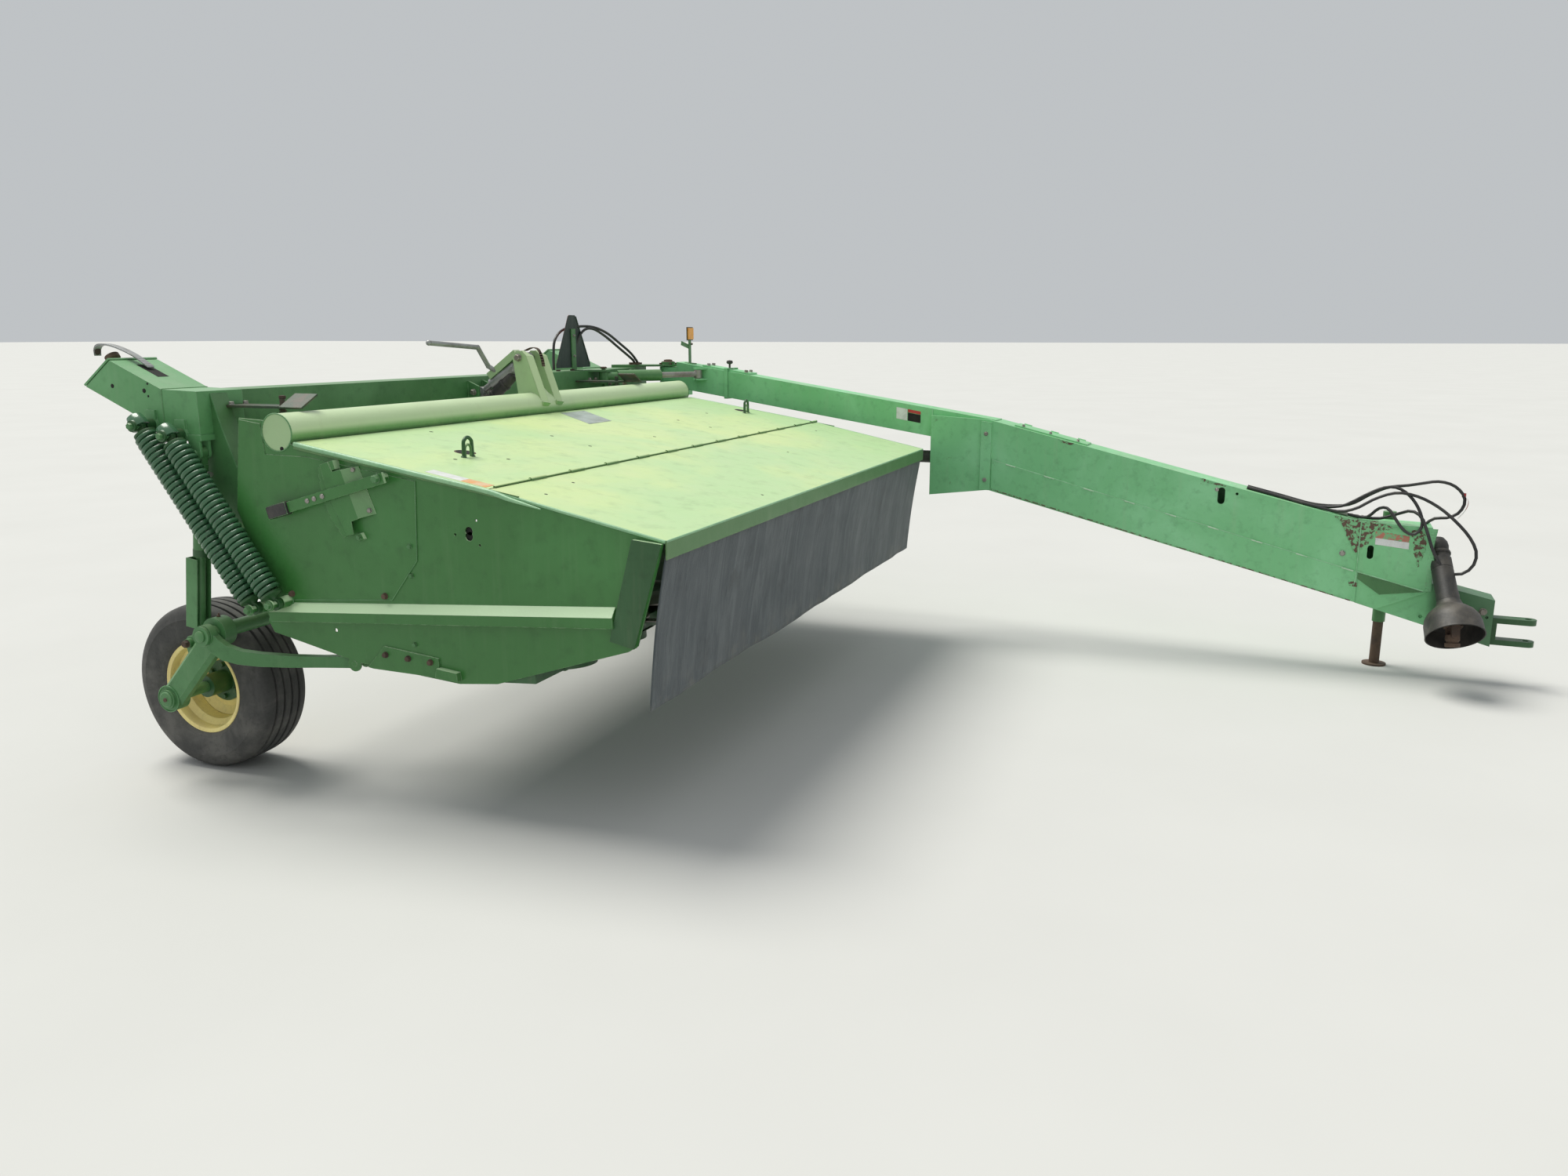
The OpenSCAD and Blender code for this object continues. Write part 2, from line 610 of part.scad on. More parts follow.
rotor_y = 1335;
rotor_z = 985;
rotor_stub_d = 60;

// Tined conditioner rotor between the end panels
module impeller() color(steel) machine() {
    cross_bar(-half_w + 46, header_w - 92, rotor_y, rotor_z, rotor_d);
    cross_bar(-half_w + panel_t + 1, header_w - 2 * panel_t - 2, rotor_y, rotor_z, rotor_stub_d);
    for (row = [0:3], k = [0:tine_count - 1])
        translate([(k - (tine_count - 1) / 2) * (header_w - 320) / tine_count, rotor_y, rotor_z])
            rotate([row * 90 + k * 25, 0, 0]) for (s = [-1, 1]) rotate([0, s * 9, 0])
                translate([s * 8 - 5, -5, rotor_d / 2 - 8]) cube([10, 22, tine_r - rotor_d / 2]);
}

module conditioner_hood() color(dark_green) machine() side_plate(panel_t - half_w, header_w - 2 * panel_t)
    intersection() {
        translate([rotor_y, rotor_z]) difference() {
            circle(r = tine_r + 66);
            circle(r = tine_r + 60);
        }
        translate([rotor_y - 170, rotor_z + 120]) square([700, 400]);
    }

// Shields behind the rotor that narrow the swath
module forming_shields() color(green) machine() {
    cross_bar(panel_t - half_w, header_w - 2 * panel_t, 1740, 1330, 50);
    for (left = [false, true]) on_side(left)
        translate([-half_w + 330, 1700, 800]) rotate([0, 0, -24]) cube([4, 420, 560]);
}

// Side gearbox under the tongue's swing pin
module drive_gearbox() color(dark_green) machine() {
    translate([gear_x - 105, gear_y - 10, gear_z - 120]) cube([210, 200, 240]);
    cross_bar(half_w + cover_t + 0.3, gear_x - half_w - cover_t, gear_y + 90, gear_z, 130);
    translate([gear_x, gear_y - 45, gear_z]) {
        rotate([-90, 0, 0]) cylinder(h = 60, d = 40);
        sphere(d = 40);
    }
}

gear_x = half_w + 230;
gear_y = 1700;
gear_z = 1130;

arm_len = norm([axle_y - shaft_y, shaft_z - tyre_r]);
arm_lean = atan2(axle_y - shaft_y, shaft_z - tyre_r);
arm_depth = 112;
arm_bevel = 18;

// Wheel arm: bevelled box beam with its shaft eye, spindle and cylinder lugs
module wheel_arm(left) color(green) machine() on_side(left) difference() {
    w = arm_box_w / 2;
    h = arm_depth / 2;
    union() {
        translate([-arm_x - w, shaft_y, shaft_z]) rotate([180 + arm_lean, 0, 0]) linear_extrude(arm_len)
            polygon([[-w + 0.5, arm_bevel - h], [arm_bevel - w, 1 - h], [w - arm_bevel, 1 - h], [w - 0.5, arm_bevel - h],
                [w - 0.5, h - arm_bevel], [w - arm_bevel, h - 1], [arm_bevel - w, h - 1], [-w + 0.5, h - arm_bevel]]);
        cross_bar(-arm_x - arm_box_w, arm_box_w, shaft_y, shaft_z, arm_depth + 14);
        cross_bar(-arm_x - arm_box_w, arm_box_w, axle_y, tyre_r, arm_depth);
        for (s = [-1, 1])
            side_plate(-lift_x + s * (lift_eye_w / 2 + lift_gap) - (s < 0 ? lug_t : 0), lug_t) lug_ear();
        side_plate(-arm_x - 10, arm_x + 10 - lift_x - lift_eye_w / 2 - lift_gap) lug_ear();
        side_plate(-arm_x - 10, arm_x + 10 - lift_x + lift_eye_w / 2 + lift_gap + lug_t) lug_base();
        cross_bar(-arm_x - 30, arm_x + 30 - lift_x + lift_eye_w / 2 + lug_t + 8, lug_y, lug_z, lift_pin_d);
        cross_bar(-arm_x - 30, 22, lug_y, lug_z, 40);
        cross_bar(-arm_x - arm_box_w - 12, 20, axle_y, tyre_r, 84);
        cross_bar(-arm_x - 10, arm_x - wheel_x + 80, axle_y, tyre_r, spindle_d);
    }
    cross_bar(-arm_x - arm_box_w - 30, arm_box_w + 60, shaft_y, shaft_z, shaft_d + 2 * pin_gap);
}

// Outline of the ear that holds the lift cylinder's low pin, and of the block below it
module lug_ear() polygon([[shaft_y + 62, shaft_z + 12], [lug_y - 12, lug_z + 28], [lug_y + 14, lug_z + 26],
    [lug_y + 30, lug_z + 4], [lug_y + 27, lug_z - 18], [lug_y + 6, lug_z - 110], [shaft_y + 70, shaft_z - 90]]);

module lug_base() polygon([[shaft_y + 78, shaft_z - 30], [lug_y - 18, lug_z - 42], [lug_y + 14, lug_z - 50],
    [lug_y - 10, lug_z - 110], [shaft_y + 84, shaft_z - 96]]);

module in_wheel(left) machine() on_side(left) translate([-wheel_x, axle_y, tyre_r]) rotate([0, 90, 0]) children();

// Hub on the spindle with its bolt flange
module hub(left) color(dark_green) in_wheel(left) difference() {
    union() {
        translate([0, 0, -100]) cylinder(h = 162, d = 100);
        translate([0, 0, 6]) cylinder(h = 14, d = 190);
        for (a = [0:60:359]) rotate(a) translate([74, 0, -8]) cylinder(h = 46, d = 22);
        translate([0, 0, 58]) cylinder(h = 28, d = 76);
    }
    translate([0, 0, -101]) cylinder(h = 176, d = spindle_d + 2 * pin_gap);
}

// Drop-centre rim with its dished disc and bolt holes
module rim(left) color(yellow) in_wheel(left) difference() {
    r = rim_d / 2;
    rotate_extrude($fn = 96) polygon([[r, -117], [r, -111], [r - 14, -108], [r - 17, -70], [r - 42, -52],
        [r - 42, 30], [r - 17, 56], [r - 14, 108], [r, 111], [r, 117], [r - 19, 113], [r - 22, 60], [r - 47, 34],
        [r - 70, 26], [120, 30], [110, 26], [50.5, 26], [50.5, 20], [112, 20], [120, 24], [r - 72, 20], [r - 47, 14],
        [r - 47, -54], [r - 22, -74], [r - 19, -113]]);
    for (a = [0:60:359]) rotate(a) translate([74, 0, 0]) cylinder(h = 60, d = 22.4);
}

// Rib implement tyre, its grooves worked out from a table of places across the tread
groove_x = [-66, -22, 22, 66];

module tyre(left) color(black) in_wheel(left) rotate_extrude($fn = 96) difference() {
    h = tyre_w / 2;
    s = rim_d / 2;
    polygon([[s - 13, -107], [s - 13, 107], [s + 0.6, 110], [s + 6, 114], [s + 24, h - 12], [tyre_r - 92, h], [tyre_r - 48, h - 6],
        [tyre_r - 18, h - 22], [tyre_r - 6, h - 44], [tyre_r, h - 70], [tyre_r, 70 - h], [tyre_r - 6, 44 - h],
        [tyre_r - 18, 22 - h], [tyre_r - 48, 6 - h], [tyre_r - 92, -h], [s + 24, 12 - h], [s + 6, -114], [s + 0.6, -110]]);
    for (x = groove_x) translate([tyre_r - 11, x - 6]) square([20, 12]);
}

// Lift cylinder
module lift_barrel(left) color(dark_green) machine() on_side(left) lift_axis() difference() {
    union() {
        translate([0, 0, 45]) cylinder(h = lift_len - lift_bare - 45, d = lift_barrel_d);
        translate([-lift_eye_w / 2, -24, 0]) cube([lift_eye_w, 48, 60]);
        rotate([0, 90, 0]) translate([0, 0, -lift_eye_w / 2]) cylinder(h = lift_eye_w, d = 56);
    }
    translate([0, 0, 70]) cylinder(h = lift_len, d = lift_rod_d + 0.2);
    rotate([0, 90, 0]) translate([0, 0, -40]) cylinder(h = 80, d = lift_pin_d + 2 * pin_gap);
}

// The line from the lift cylinder's top pin down to its lug
module lift_axis() translate([-lift_x, lift_top_y, lift_top_z]) rotate([180 + lift_lean, 0, 0]) children();

// Round bar across the rod's foot, drawn out over the places that its pin drifts to
module drift_bar(width, d) translate([-width / 2, 0, lift_len]) rotate([0, 90, 0]) linear_extrude(width)
    hull() for (back = [0, lift_drift[0]], along = [0, lift_drift[1]]) translate([-along, -back]) circle(d = d);

// Rod with its eye and the channel that locks it for transport
module lift_rod(left) color(steel) machine() on_side(left) lift_axis() difference() {
    union() {
        translate([0, 0, lift_len - lift_bare - 120]) cylinder(h = lift_bare + 84, d = lift_rod_d);
        translate([0, 0, lift_len - 40]) cylinder(h = 30, d = lift_eye_w);
        drift_bar(lift_eye_w, 56);
        translate([0, 0, lift_len - lift_bare + 8]) linear_extrude(lift_bare - 68)
            polygon([[-lock_w / 2, -44], [lock_w / 2, -44], [lock_w / 2, 18], [lock_w / 2 - lock_t, 18],
                [lock_w / 2 - lock_t, lock_t - 44], [lock_t - lock_w / 2, lock_t - 44], [lock_t - lock_w / 2, 18],
                [-lock_w / 2, 18]]);
        translate([1 - lock_w / 2, 1 - 44, lift_len - 205]) cube([lock_w - 2, 36, 34]);
    }
    drift_bar(80, lift_pin_d + 2 * pin_gap);
}

// Tongue
module on_tongue() machine() translate([pivot_x, pivot_y, 0]) rotate([0, 0, tongue_rest]) children();

// Extrudes an outline of distance along the tongue and height across the tongue
module tongue_plate(x0, width) translate([x0, 0, 0]) mirror([0, 1, 0]) rotate([90, 0, 90]) linear_extrude(width) children();

function tube_top(s) = tube_rear_z - s * tan(tube_slope);

// Slim sloping tube with the swing boss and the swing cylinder's lugs
module tongue_tube() color(green) on_tongue() difference() {
    union() {
        tongue_plate(-tongue_w / 2, tongue_w) polygon([[110, tube_top(110)], [deep_s + 30, tube_top(deep_s + 30)],
            [deep_s + 30, tube_top(deep_s + 30) - tongue_h], [110, tube_top(110) - tongue_h]]);
        tongue_plate(-62, 124) polygon([[310, tube_top(310) - 2], [310, tube_top(310) + 12], [670, tube_top(670) + 12],
            [670, tube_top(670) - 2]]);
        translate([-60, -160, beam_low_z - 10]) cube([120, 160, beam_s + 10]);
        translate([0, 0, beam_low_z - 17]) cylinder(h = beam_s + 22, d = 120);
        for (z = [swing_z - swing_eye_w / 2 - 2 - bracket_t, swing_z + swing_eye_w / 2 + 2])
            translate([0, 0, z]) linear_extrude(bracket_t) polygon([[0, -swing_r - 90], [0, -swing_r + 90],
                [swing_eye_x, -swing_r + 36], [swing_eye_x - 32, -swing_r], [swing_eye_x, -swing_r - 36]]);
    }
    translate([0, 0, beam_low_z - 60]) cylinder(h = beam_s + 120, d = swing_pin_d + 2 * pin_gap);
}

seat = 0.2;

// Deep front section round the drive shaft, open at its nose, with the shaft's bearing wall
module tongue_box() color(green) on_tongue() difference() {
    union() {
        tongue_wall(deep_end_s + 75);
        tongue_plate(-deep_w / 2, deep_w) polygon([[deep_s, deep_top_rear], [deep_end_s, deep_top_front],
            [cover_s, deep_top_front - 10], [cover_s, 500], [deep_end_s + 110, deep_low_front - 30],
            [deep_end_s, deep_low_front], [deep_s, deep_low_rear]]);
        tongue_plate(-deep_w / 2, deep_w) polygon([[plate_s, 1405], [deep_s, 1385], [deep_s, 945], [plate_s, 895]]);
        tongue_plate(-deep_w / 2 + 12, deep_w - 24) polygon([[deep_end_s, 640], [nose_s, nose_top], [nose_s, nose_low],
            [deep_end_s, deep_low_front - 4]]);
        tongue_trim();
    }
    for (h = tongue_slots) tongue_plate(-deep_w / 2 - 10, 34)
        hull() for (end = [-1, 1]) translate([h[0], h[1] + end * (h[3] - h[2]) / 2]) circle(d = h[2], $fn = 20);
    difference() {
        tongue_cavity();
        tongue_wall(deep_end_s + 75);
    }
    rod_between(pto_rear, pto_top, pto_d + 0.6);
    tongue_plate(-tongue_w / 2 - seat, tongue_w + 2 * seat) polygon([[plate_s - 10, tube_top(plate_s - 10) + seat],
        [deep_s + 30 + seat, tube_top(deep_s + 30) + seat], [deep_s + 30 + seat, tube_top(deep_s + 30) - tongue_h - seat],
        [plate_s - 10, tube_top(plate_s - 10) - tongue_h - seat]]);
}

// Slots in the near wall: distance along the tongue, height, width, upright length
tongue_slots = [[deep_end_s - 759, 985, 40, 98], [deep_end_s + 53, 710, 32, 78], [nose_s - 114, 405, 30, 30],
    [deep_end_s - 673, 1000, 16, 16], [nose_s - 30, 388, 16, 16], [nose_s - 351, 362, 20, 20]];

// Outer forms of the deep section: stiffening channel, hinged top cover, seam strip and nose plate
module tongue_trim() {
    tongue_plate(-deep_w / 2 - 16, deep_w + 32) polygon([[2318, 945], [2318, 1378], [2384, 1372], [2384, 945]]);
    tongue_plate(-74, 148) polygon([[deep_s + 150, deep_top(deep_s + 150) - 2], [deep_s + 150, deep_top(deep_s + 150) + 9],
        [deep_s + 600, deep_top(deep_s + 600) + 9], [deep_s + 600, deep_top(deep_s + 600) - 2]]);
    tongue_plate(-deep_w / 2 - 5, 6) polygon([[2390, 1136], [deep_end_s, deep_top_front - 286],
        [deep_end_s, deep_low_front + 2], [2390, 950]]);
    tongue_plate(-deep_w / 2 - 4, 5) polygon([[deep_end_s - 8, deep_top_front + 4], [cover_s, deep_top_front - 8],
        [cover_s, 505], [deep_end_s + 120, 470], [deep_end_s - 8, 560]]);
}

function deep_top(s) = deep_top_rear + (s - deep_s) * (deep_top_front - deep_top_rear) / (deep_end_s - deep_s);

module tongue_cavity() tongue_plate(-deep_w / 2 + deep_t, deep_w - 2 * deep_t) polygon([[deep_s + 60,
    deep_top_rear - 24], [deep_end_s, deep_top_front - 12], [cover_s + 20, deep_top_front - 22], [cover_s + 20, 540],
    [deep_end_s + 60, 560], [deep_end_s, 640], [deep_s + 60, deep_low_rear + 140]]);
module tongue_wall(s) translate([-deep_w / 2 + 1, -s - 12, 550]) cube([deep_w - 2, 12, 300]);

clevis_z = 302;
clevis_t = 30;

module hitch_clevis() color(dark_green) on_tongue() {
    for (z = [clevis_z + clevis_gap / 2, clevis_z - clevis_gap / 2 - clevis_t])
        translate([0, 0, z]) linear_extrude(clevis_t) difference() {
            union() {
                translate([-40, -tongue_l]) square([80, tongue_l - nose_s]);
                translate([0, -tongue_l]) circle(d = 80);
            }
            translate([0, -tongue_l]) circle(d = hitch_bore_d);
        }
    translate([-40, -nose_s - 30, clevis_z - clevis_gap / 2 - 1]) cube([80, 30, clevis_gap + 2]);
}

module jack_sleeve() color(green) on_tongue() translate([jack_x, -jack_s, 0]) {
    difference() {
        translate([0, 0, 262]) cylinder(h = 650, d = 70);
        translate([0, 0, 261]) cylinder(h = 630, d = jack_d + 2 * pin_gap);
    }
    translate([deep_w / 2 - jack_x, -40, 450]) cube([jack_x - deep_w / 2 - 33, 80, 200]);
}

jack_d = 56;

module jack_leg() color(rust) on_tongue() translate([jack_x, -jack_s, 0]) {
    translate([0, 0, 10]) cylinder(h = 600, d = jack_d);
    cylinder(h = 10, d = 130);
}

swing_eye_x = -112;
swing_eye = [pivot_x + swing_eye_x * cos(tongue_rest) + swing_r * sin(tongue_rest),
    pivot_y + swing_eye_x * sin(tongue_rest) - swing_r * cos(tongue_rest)];
swing_len = norm([swing_eye[0] - swing_anchor_x, swing_eye[1] - swing_anchor_y]);
swing_lean = atan2(swing_eye[1] - swing_anchor_y, swing_eye[0] - swing_anchor_x);

module in_swing() machine() translate([swing_anchor_x, swing_anchor_y, swing_z]) rotate([0, 0, swing_lean])
    rotate([0, 90, 0]) children();

module swing_barrel() color(green) in_swing() difference() {
    union() {
        translate([0, 0, 96]) cylinder(h = 328, d = 76);
        translate([0, 0, 10]) cylinder(h = 90, d = 50);
        rotate([0, 90, 0]) translate([0, 0, -swing_eye_w / 2]) cylinder(h = swing_eye_w, d = 60);
    }
    translate([0, 0, 60]) cylinder(h = 420, d = 38.2);
    rotate([0, 90, 0]) translate([0, 0, -40]) cylinder(h = 80, d = swing_pin_small + 2 * pin_gap);
}

module swing_rod() color(steel) in_swing() difference() {
    union() {
        translate([0, 0, 260]) cylinder(h = swing_len - 280, d = 38);
        translate([0, 0, swing_len]) rotate([0, 90, 0]) translate([0, 0, -swing_eye_w / 2]) cylinder(h = swing_eye_w, d = 56);
    }
    translate([0, 0, swing_len]) rotate([0, 90, 0]) translate([0, 0, -40]) cylinder(h = 80, d = swing_pin_small + 2 * pin_gap);
}

pto_d = 60;
pto_rear = [0, 15 - deep_end_s, 770];
pto_top = [-20, -cover_s - 40, 755];
pto_cone = [-300, -cover_s - 185, 330];

// Shielded front shaft with its cone and yoke, hanging beside the nose
module pto_shaft() color(black) on_tongue() {
    dir = (pto_cone - pto_top) / norm(pto_cone - pto_top);
    rod_between(pto_top, pto_cone - dir * 100, 78);
    cone_between(pto_cone - dir * 110, pto_cone, 90, 290);
    rod_between(pto_cone - dir * 10, pto_cone + dir * 80, 62);
    translate(pto_top) sphere(d = 110);
    rod_between(pto_rear, pto_top, pto_d);
}

module cone_between(a, b, d1, d2) {
    run = b - a;
    length = norm(run);
    translate(a) rotate([0, acos(run[2] / length), atan2(run[1], run[0])]) cylinder(h = length, d1 = d1, d2 = d2);
}

drive_len = 1660;

// Telescoping shaft from the side gearbox to the tongue
module header_driveline() color(black) machine() translate([gear_x, gear_y - 45, gear_z]) rotate([0, 0, -1]) rotate([90, 0, 0])
    translate([0, 0, 20.3]) cylinder(h = drive_len - 14, d = 80);

main_frame();
spring_arm(false);  // spring_arm_right
spring_arm(true);  // spring_arm_left
float_springs(false);  // float_springs_right
float_springs(true);  // float_springs_left
lower_link(false);  // lower_link_right
lower_link(true);  // lower_link_left
tilt_link();
slow_vehicle_sign();
transport_latches();
header_tube();
end_panel(false);  // end_panel_right
end_panel(true);  // end_panel_left
hood_rear();
cutterbar();
crop_pan();
conditioner_hood();
forming_shields();
drive_gearbox();
hood_front();
curtain_front();
for (i = [0:7]) disc(i);
impeller();
wheel_arm(false);  // wheel_arm_right
hub(false);  // hub_right
rim(false);  // rim_right
tyre(false);  // tyre_right
lift_barrel(false);  // lift_barrel_right
lift_rod(false);  // lift_rod_right
wheel_arm(true);  // wheel_arm_left
hub(true);  // hub_left
rim(true);  // rim_left
tyre(true);  // tyre_left
lift_barrel(true);  // lift_barrel_left
lift_rod(true);  // lift_rod_left
tongue_tube();
tongue_box();
hitch_clevis();
jack_sleeve();
jack_leg();
swing_barrel();
swing_rod();
pto_shaft();
header_driveline();
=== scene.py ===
"""Looks of a parked trailed disc mower conditioner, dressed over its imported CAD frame."""

import logging
import math
import random
from dataclasses import dataclass, field
from enum import Enum

import bpy
from mathutils import Matrix, Vector, noise


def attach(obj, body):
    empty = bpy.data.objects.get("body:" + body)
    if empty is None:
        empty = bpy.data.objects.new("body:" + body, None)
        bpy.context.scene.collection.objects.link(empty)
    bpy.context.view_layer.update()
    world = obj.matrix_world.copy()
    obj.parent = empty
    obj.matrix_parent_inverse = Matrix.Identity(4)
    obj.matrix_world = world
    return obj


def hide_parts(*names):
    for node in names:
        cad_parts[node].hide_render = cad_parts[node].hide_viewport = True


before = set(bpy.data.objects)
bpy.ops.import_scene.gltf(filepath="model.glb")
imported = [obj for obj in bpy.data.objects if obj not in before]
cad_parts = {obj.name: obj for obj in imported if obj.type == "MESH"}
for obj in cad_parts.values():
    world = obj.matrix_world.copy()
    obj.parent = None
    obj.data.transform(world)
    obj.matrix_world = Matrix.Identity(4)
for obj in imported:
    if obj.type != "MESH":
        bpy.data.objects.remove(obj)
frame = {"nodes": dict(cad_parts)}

LOG = logging.getLogger("mower")
MACHINE_ORIGIN = Vector((0.1205, -0.370, 0.0))
PIVOT = Vector((2150.0, 1950.0, 0.0))
TONGUE_REST = math.radians(-3.5)
OUTLINE_SEED = 1795784581

Point = tuple[float, float, float]
Flat = tuple[float, float]


class Side(Enum):
    """The machine's two sides, seen from behind."""

    RIGHT = -1
    LEFT = 1


def at(x: float, y: float, z: float) -> Vector:
    """Turns a place on the machine into a place in the row frame.

    Args:
        x: Millimetres to the machine's left of the header's middle.
        y: Millimetres back from the hood's front edge.
        z: Millimetres above the ground.

    Returns:
        The place in metres.
    """
    return Vector((x, y, z)) / 1000.0 - MACHINE_ORIGIN


def on_tongue(lateral: float, along: float, z: float) -> Vector:
    """Turns a place on the tongue into a place in the row frame.

    Args:
        lateral: Millimetres left of the tongue's middle line.
        along: Millimetres from the swing pin towards the hitch.
        z: Millimetres above the ground.

    Returns:
        The place in metres.
    """
    turned = Matrix.Rotation(TONGUE_REST, 3, "Z") @ Vector((lateral, -along, 0.0))
    return at(PIVOT.x + turned.x, PIVOT.y + turned.y, z)


def tongue_way(lateral: float, along: float, up: float) -> Vector:
    """Gives a direction on the tongue as a unit vector in the row frame."""
    return (Matrix.Rotation(TONGUE_REST, 3, "Z") @ Vector((lateral, -along, up))).normalized()


def looking(origin: Vector, axis: Vector, hint: Vector = Vector((0.0, 0.0, 1.0))) -> Matrix:
    """Builds a frame whose local Z runs along an axis.

    Args:
        origin: Where the local origin lies.
        axis: The direction of local Z.
        hint: The direction that local Y leans towards.

    Returns:
        The matrix from local to row frame.
    """
    z = axis.normalized()
    if abs(z.dot(hint)) > 0.999:
        hint = Vector((0.0, 1.0, 0.0))
    x = hint.cross(z).normalized()
    y = z.cross(x)
    return Matrix.Translation(origin) @ Matrix((x, y, z)).transposed().to_4x4()


class Graph:
    """A short way to lay out one material's nodes."""

    def __init__(self, name: str) -> None:
        """Starts an empty material with its shader and coordinates.

        Args:
            name: The material's name.
        """
        self.material = bpy.data.materials.new(name)
        self.material.use_nodes = True
        self.tree = self.material.node_tree
        self.tree.nodes.clear()
        self.out = self.tree.nodes.new("ShaderNodeOutputMaterial")
        self.shader = self.tree.nodes.new("ShaderNodeBsdfPrincipled")
        self.tree.links.new(self.shader.outputs[0], self.out.inputs[0])
        self.place = self.tree.nodes.new("ShaderNodeTexCoord").outputs["Object"]
        self.shape = self.tree.nodes.new("ShaderNodeNewGeometry")

    def link(self, source: object, socket: object) -> None:
        """Feeds a socket from a value, a colour or another socket."""
        if isinstance(source, bpy.types.NodeSocket):
            self.tree.links.new(source, socket)
        elif isinstance(source, tuple):
            socket.default_value = (*source[:3], 1.0)
        else:
            socket.default_value = source

    def stretch(self, scale: Point) -> bpy.types.NodeSocket:
        """Gives the coordinates multiplied along each axis.

        Args:
            scale: The factor along each axis.

        Returns:
            A node socket with the result.
        """
        node = self.tree.nodes.new("ShaderNodeMapping")
        node.inputs["Scale"].default_value = scale
        self.tree.links.new(self.place, node.inputs["Vector"])
        return node.outputs[0]

    def cloud(
        self, scale: float, detail: float = 4.0, rough: float = 0.55, where: object = None, warp: float = 0.0
    ) -> bpy.types.NodeSocket:
        """Gives a noise value.

        Args:
            scale: Features per metre.
            detail: Octaves.
            rough: Strength of the fine octaves.
            where: Coordinates, or None for the object's own.
            warp: Distortion of the pattern.

        Returns:
            The socket that carries the value.
        """
        node = self.tree.nodes.new("ShaderNodeTexNoise")
        node.inputs["Scale"].default_value = scale
        node.inputs["Detail"].default_value = detail
        node.inputs["Roughness"].default_value = rough
        node.inputs["Distortion"].default_value = warp
        self.tree.links.new(where or self.place, node.inputs["Vector"])
        return node.outputs["Fac"]

    def step(
        self, value: object, low: float, high: float, start: float = 0.0, end: float = 1.0) -> bpy.types.NodeSocket:
        """Maps a value smoothly from one range to another, and clamps it.

        Args:
            value: A number or a socket.
            low: The value that gives start.
            high: The value that gives end.
            start: The result at and below low.
            end: The result at and above high.

        Returns:
            A node socket with the result.
        """
        node = self.tree.nodes.new("ShaderNodeMapRange")
        node.interpolation_type = "SMOOTHSTEP"
        for name, given in (
            ("Value", value), ("From Min", low), ("From Max", high), ("To Min", start), ("To Max", end)):
            self.link(given, node.inputs[name])
        return node.outputs[0]

    def sum(self, kind: str, a: object, b: object = 0.0) -> bpy.types.NodeSocket:
        """Joins two values by a named arithmetic.

        Args:
            kind: The name of the arithmetic.
            a: The first number or socket.
            b: The second number or socket.

        Returns:
            A node socket with the result.
        """
        node = self.tree.nodes.new("ShaderNodeMath")
        node.operation = kind
        self.link(a, node.inputs[0])
        self.link(b, node.inputs[1])
        return node.outputs[0]

    def blend(self, share: object, a: object, b: object) -> bpy.types.NodeSocket:
        """Mixes two colours.

        Args:
            share: The second colour's share.
            a: The first colour or socket.
            b: The second colour or socket.

        Returns:
            A node socket with the result.
        """
        node = self.tree.nodes.new("ShaderNodeMix")
        node.data_type = "RGBA"
        self.link(share, node.inputs[0])
        self.link(a, node.inputs[6])
        self.link(b, node.inputs[7])
        return node.outputs[2]

    def axis(self, vector: object, index: int) -> bpy.types.NodeSocket:
        """Gives one component of a vector.

        Args:
            vector: The vector socket.
            index: The component, 0 for X to 2 for Z.

        Returns:
            A node socket with the result.
        """
        node = self.tree.nodes.new("ShaderNodeSeparateXYZ")
        self.tree.links.new(vector, node.inputs[0])
        return node.outputs[index]

    def relief(self, height: object, depth: float, strength: float = 1.0) -> None:
        """Adds bump to the shader.

        Args:
            height: The height socket.
            depth: The depth in metres.
            strength: How strongly it shows.
        """
        node = self.tree.nodes.new("ShaderNodeBump")
        node.inputs["Strength"].default_value = strength
        node.inputs["Distance"].default_value = depth
        self.link(height, node.inputs["Height"])
        if self.shader.inputs["Normal"].is_linked:
            self.tree.links.new(self.shader.inputs["Normal"].links[0].from_socket, node.inputs["Normal"])
        self.tree.links.new(node.outputs[0], self.shader.inputs["Normal"])

    def soft_edges(self, radius: float) -> bpy.types.NodeSocket:
        """Rounds sharp edges in the shading and gives a mask of them.

        Args:
            radius: The radius of the rounding in metres.

        Returns:
            A node socket that is 1 on edges and 0 elsewhere.
        """
        node = self.tree.nodes.new("ShaderNodeBevel")
        node.samples = 4
        node.inputs["Radius"].default_value = radius
        self.tree.links.new(node.outputs[0], self.shader.inputs["Normal"])
        dot = self.tree.nodes.new("ShaderNodeVectorMath")
        dot.operation = "DOT_PRODUCT"
        self.tree.links.new(node.outputs[0], dot.inputs[0])
        self.tree.links.new(self.shape.outputs["Normal"], dot.inputs[1])
        return self.step(dot.outputs["Value"], 0.995, 0.93)


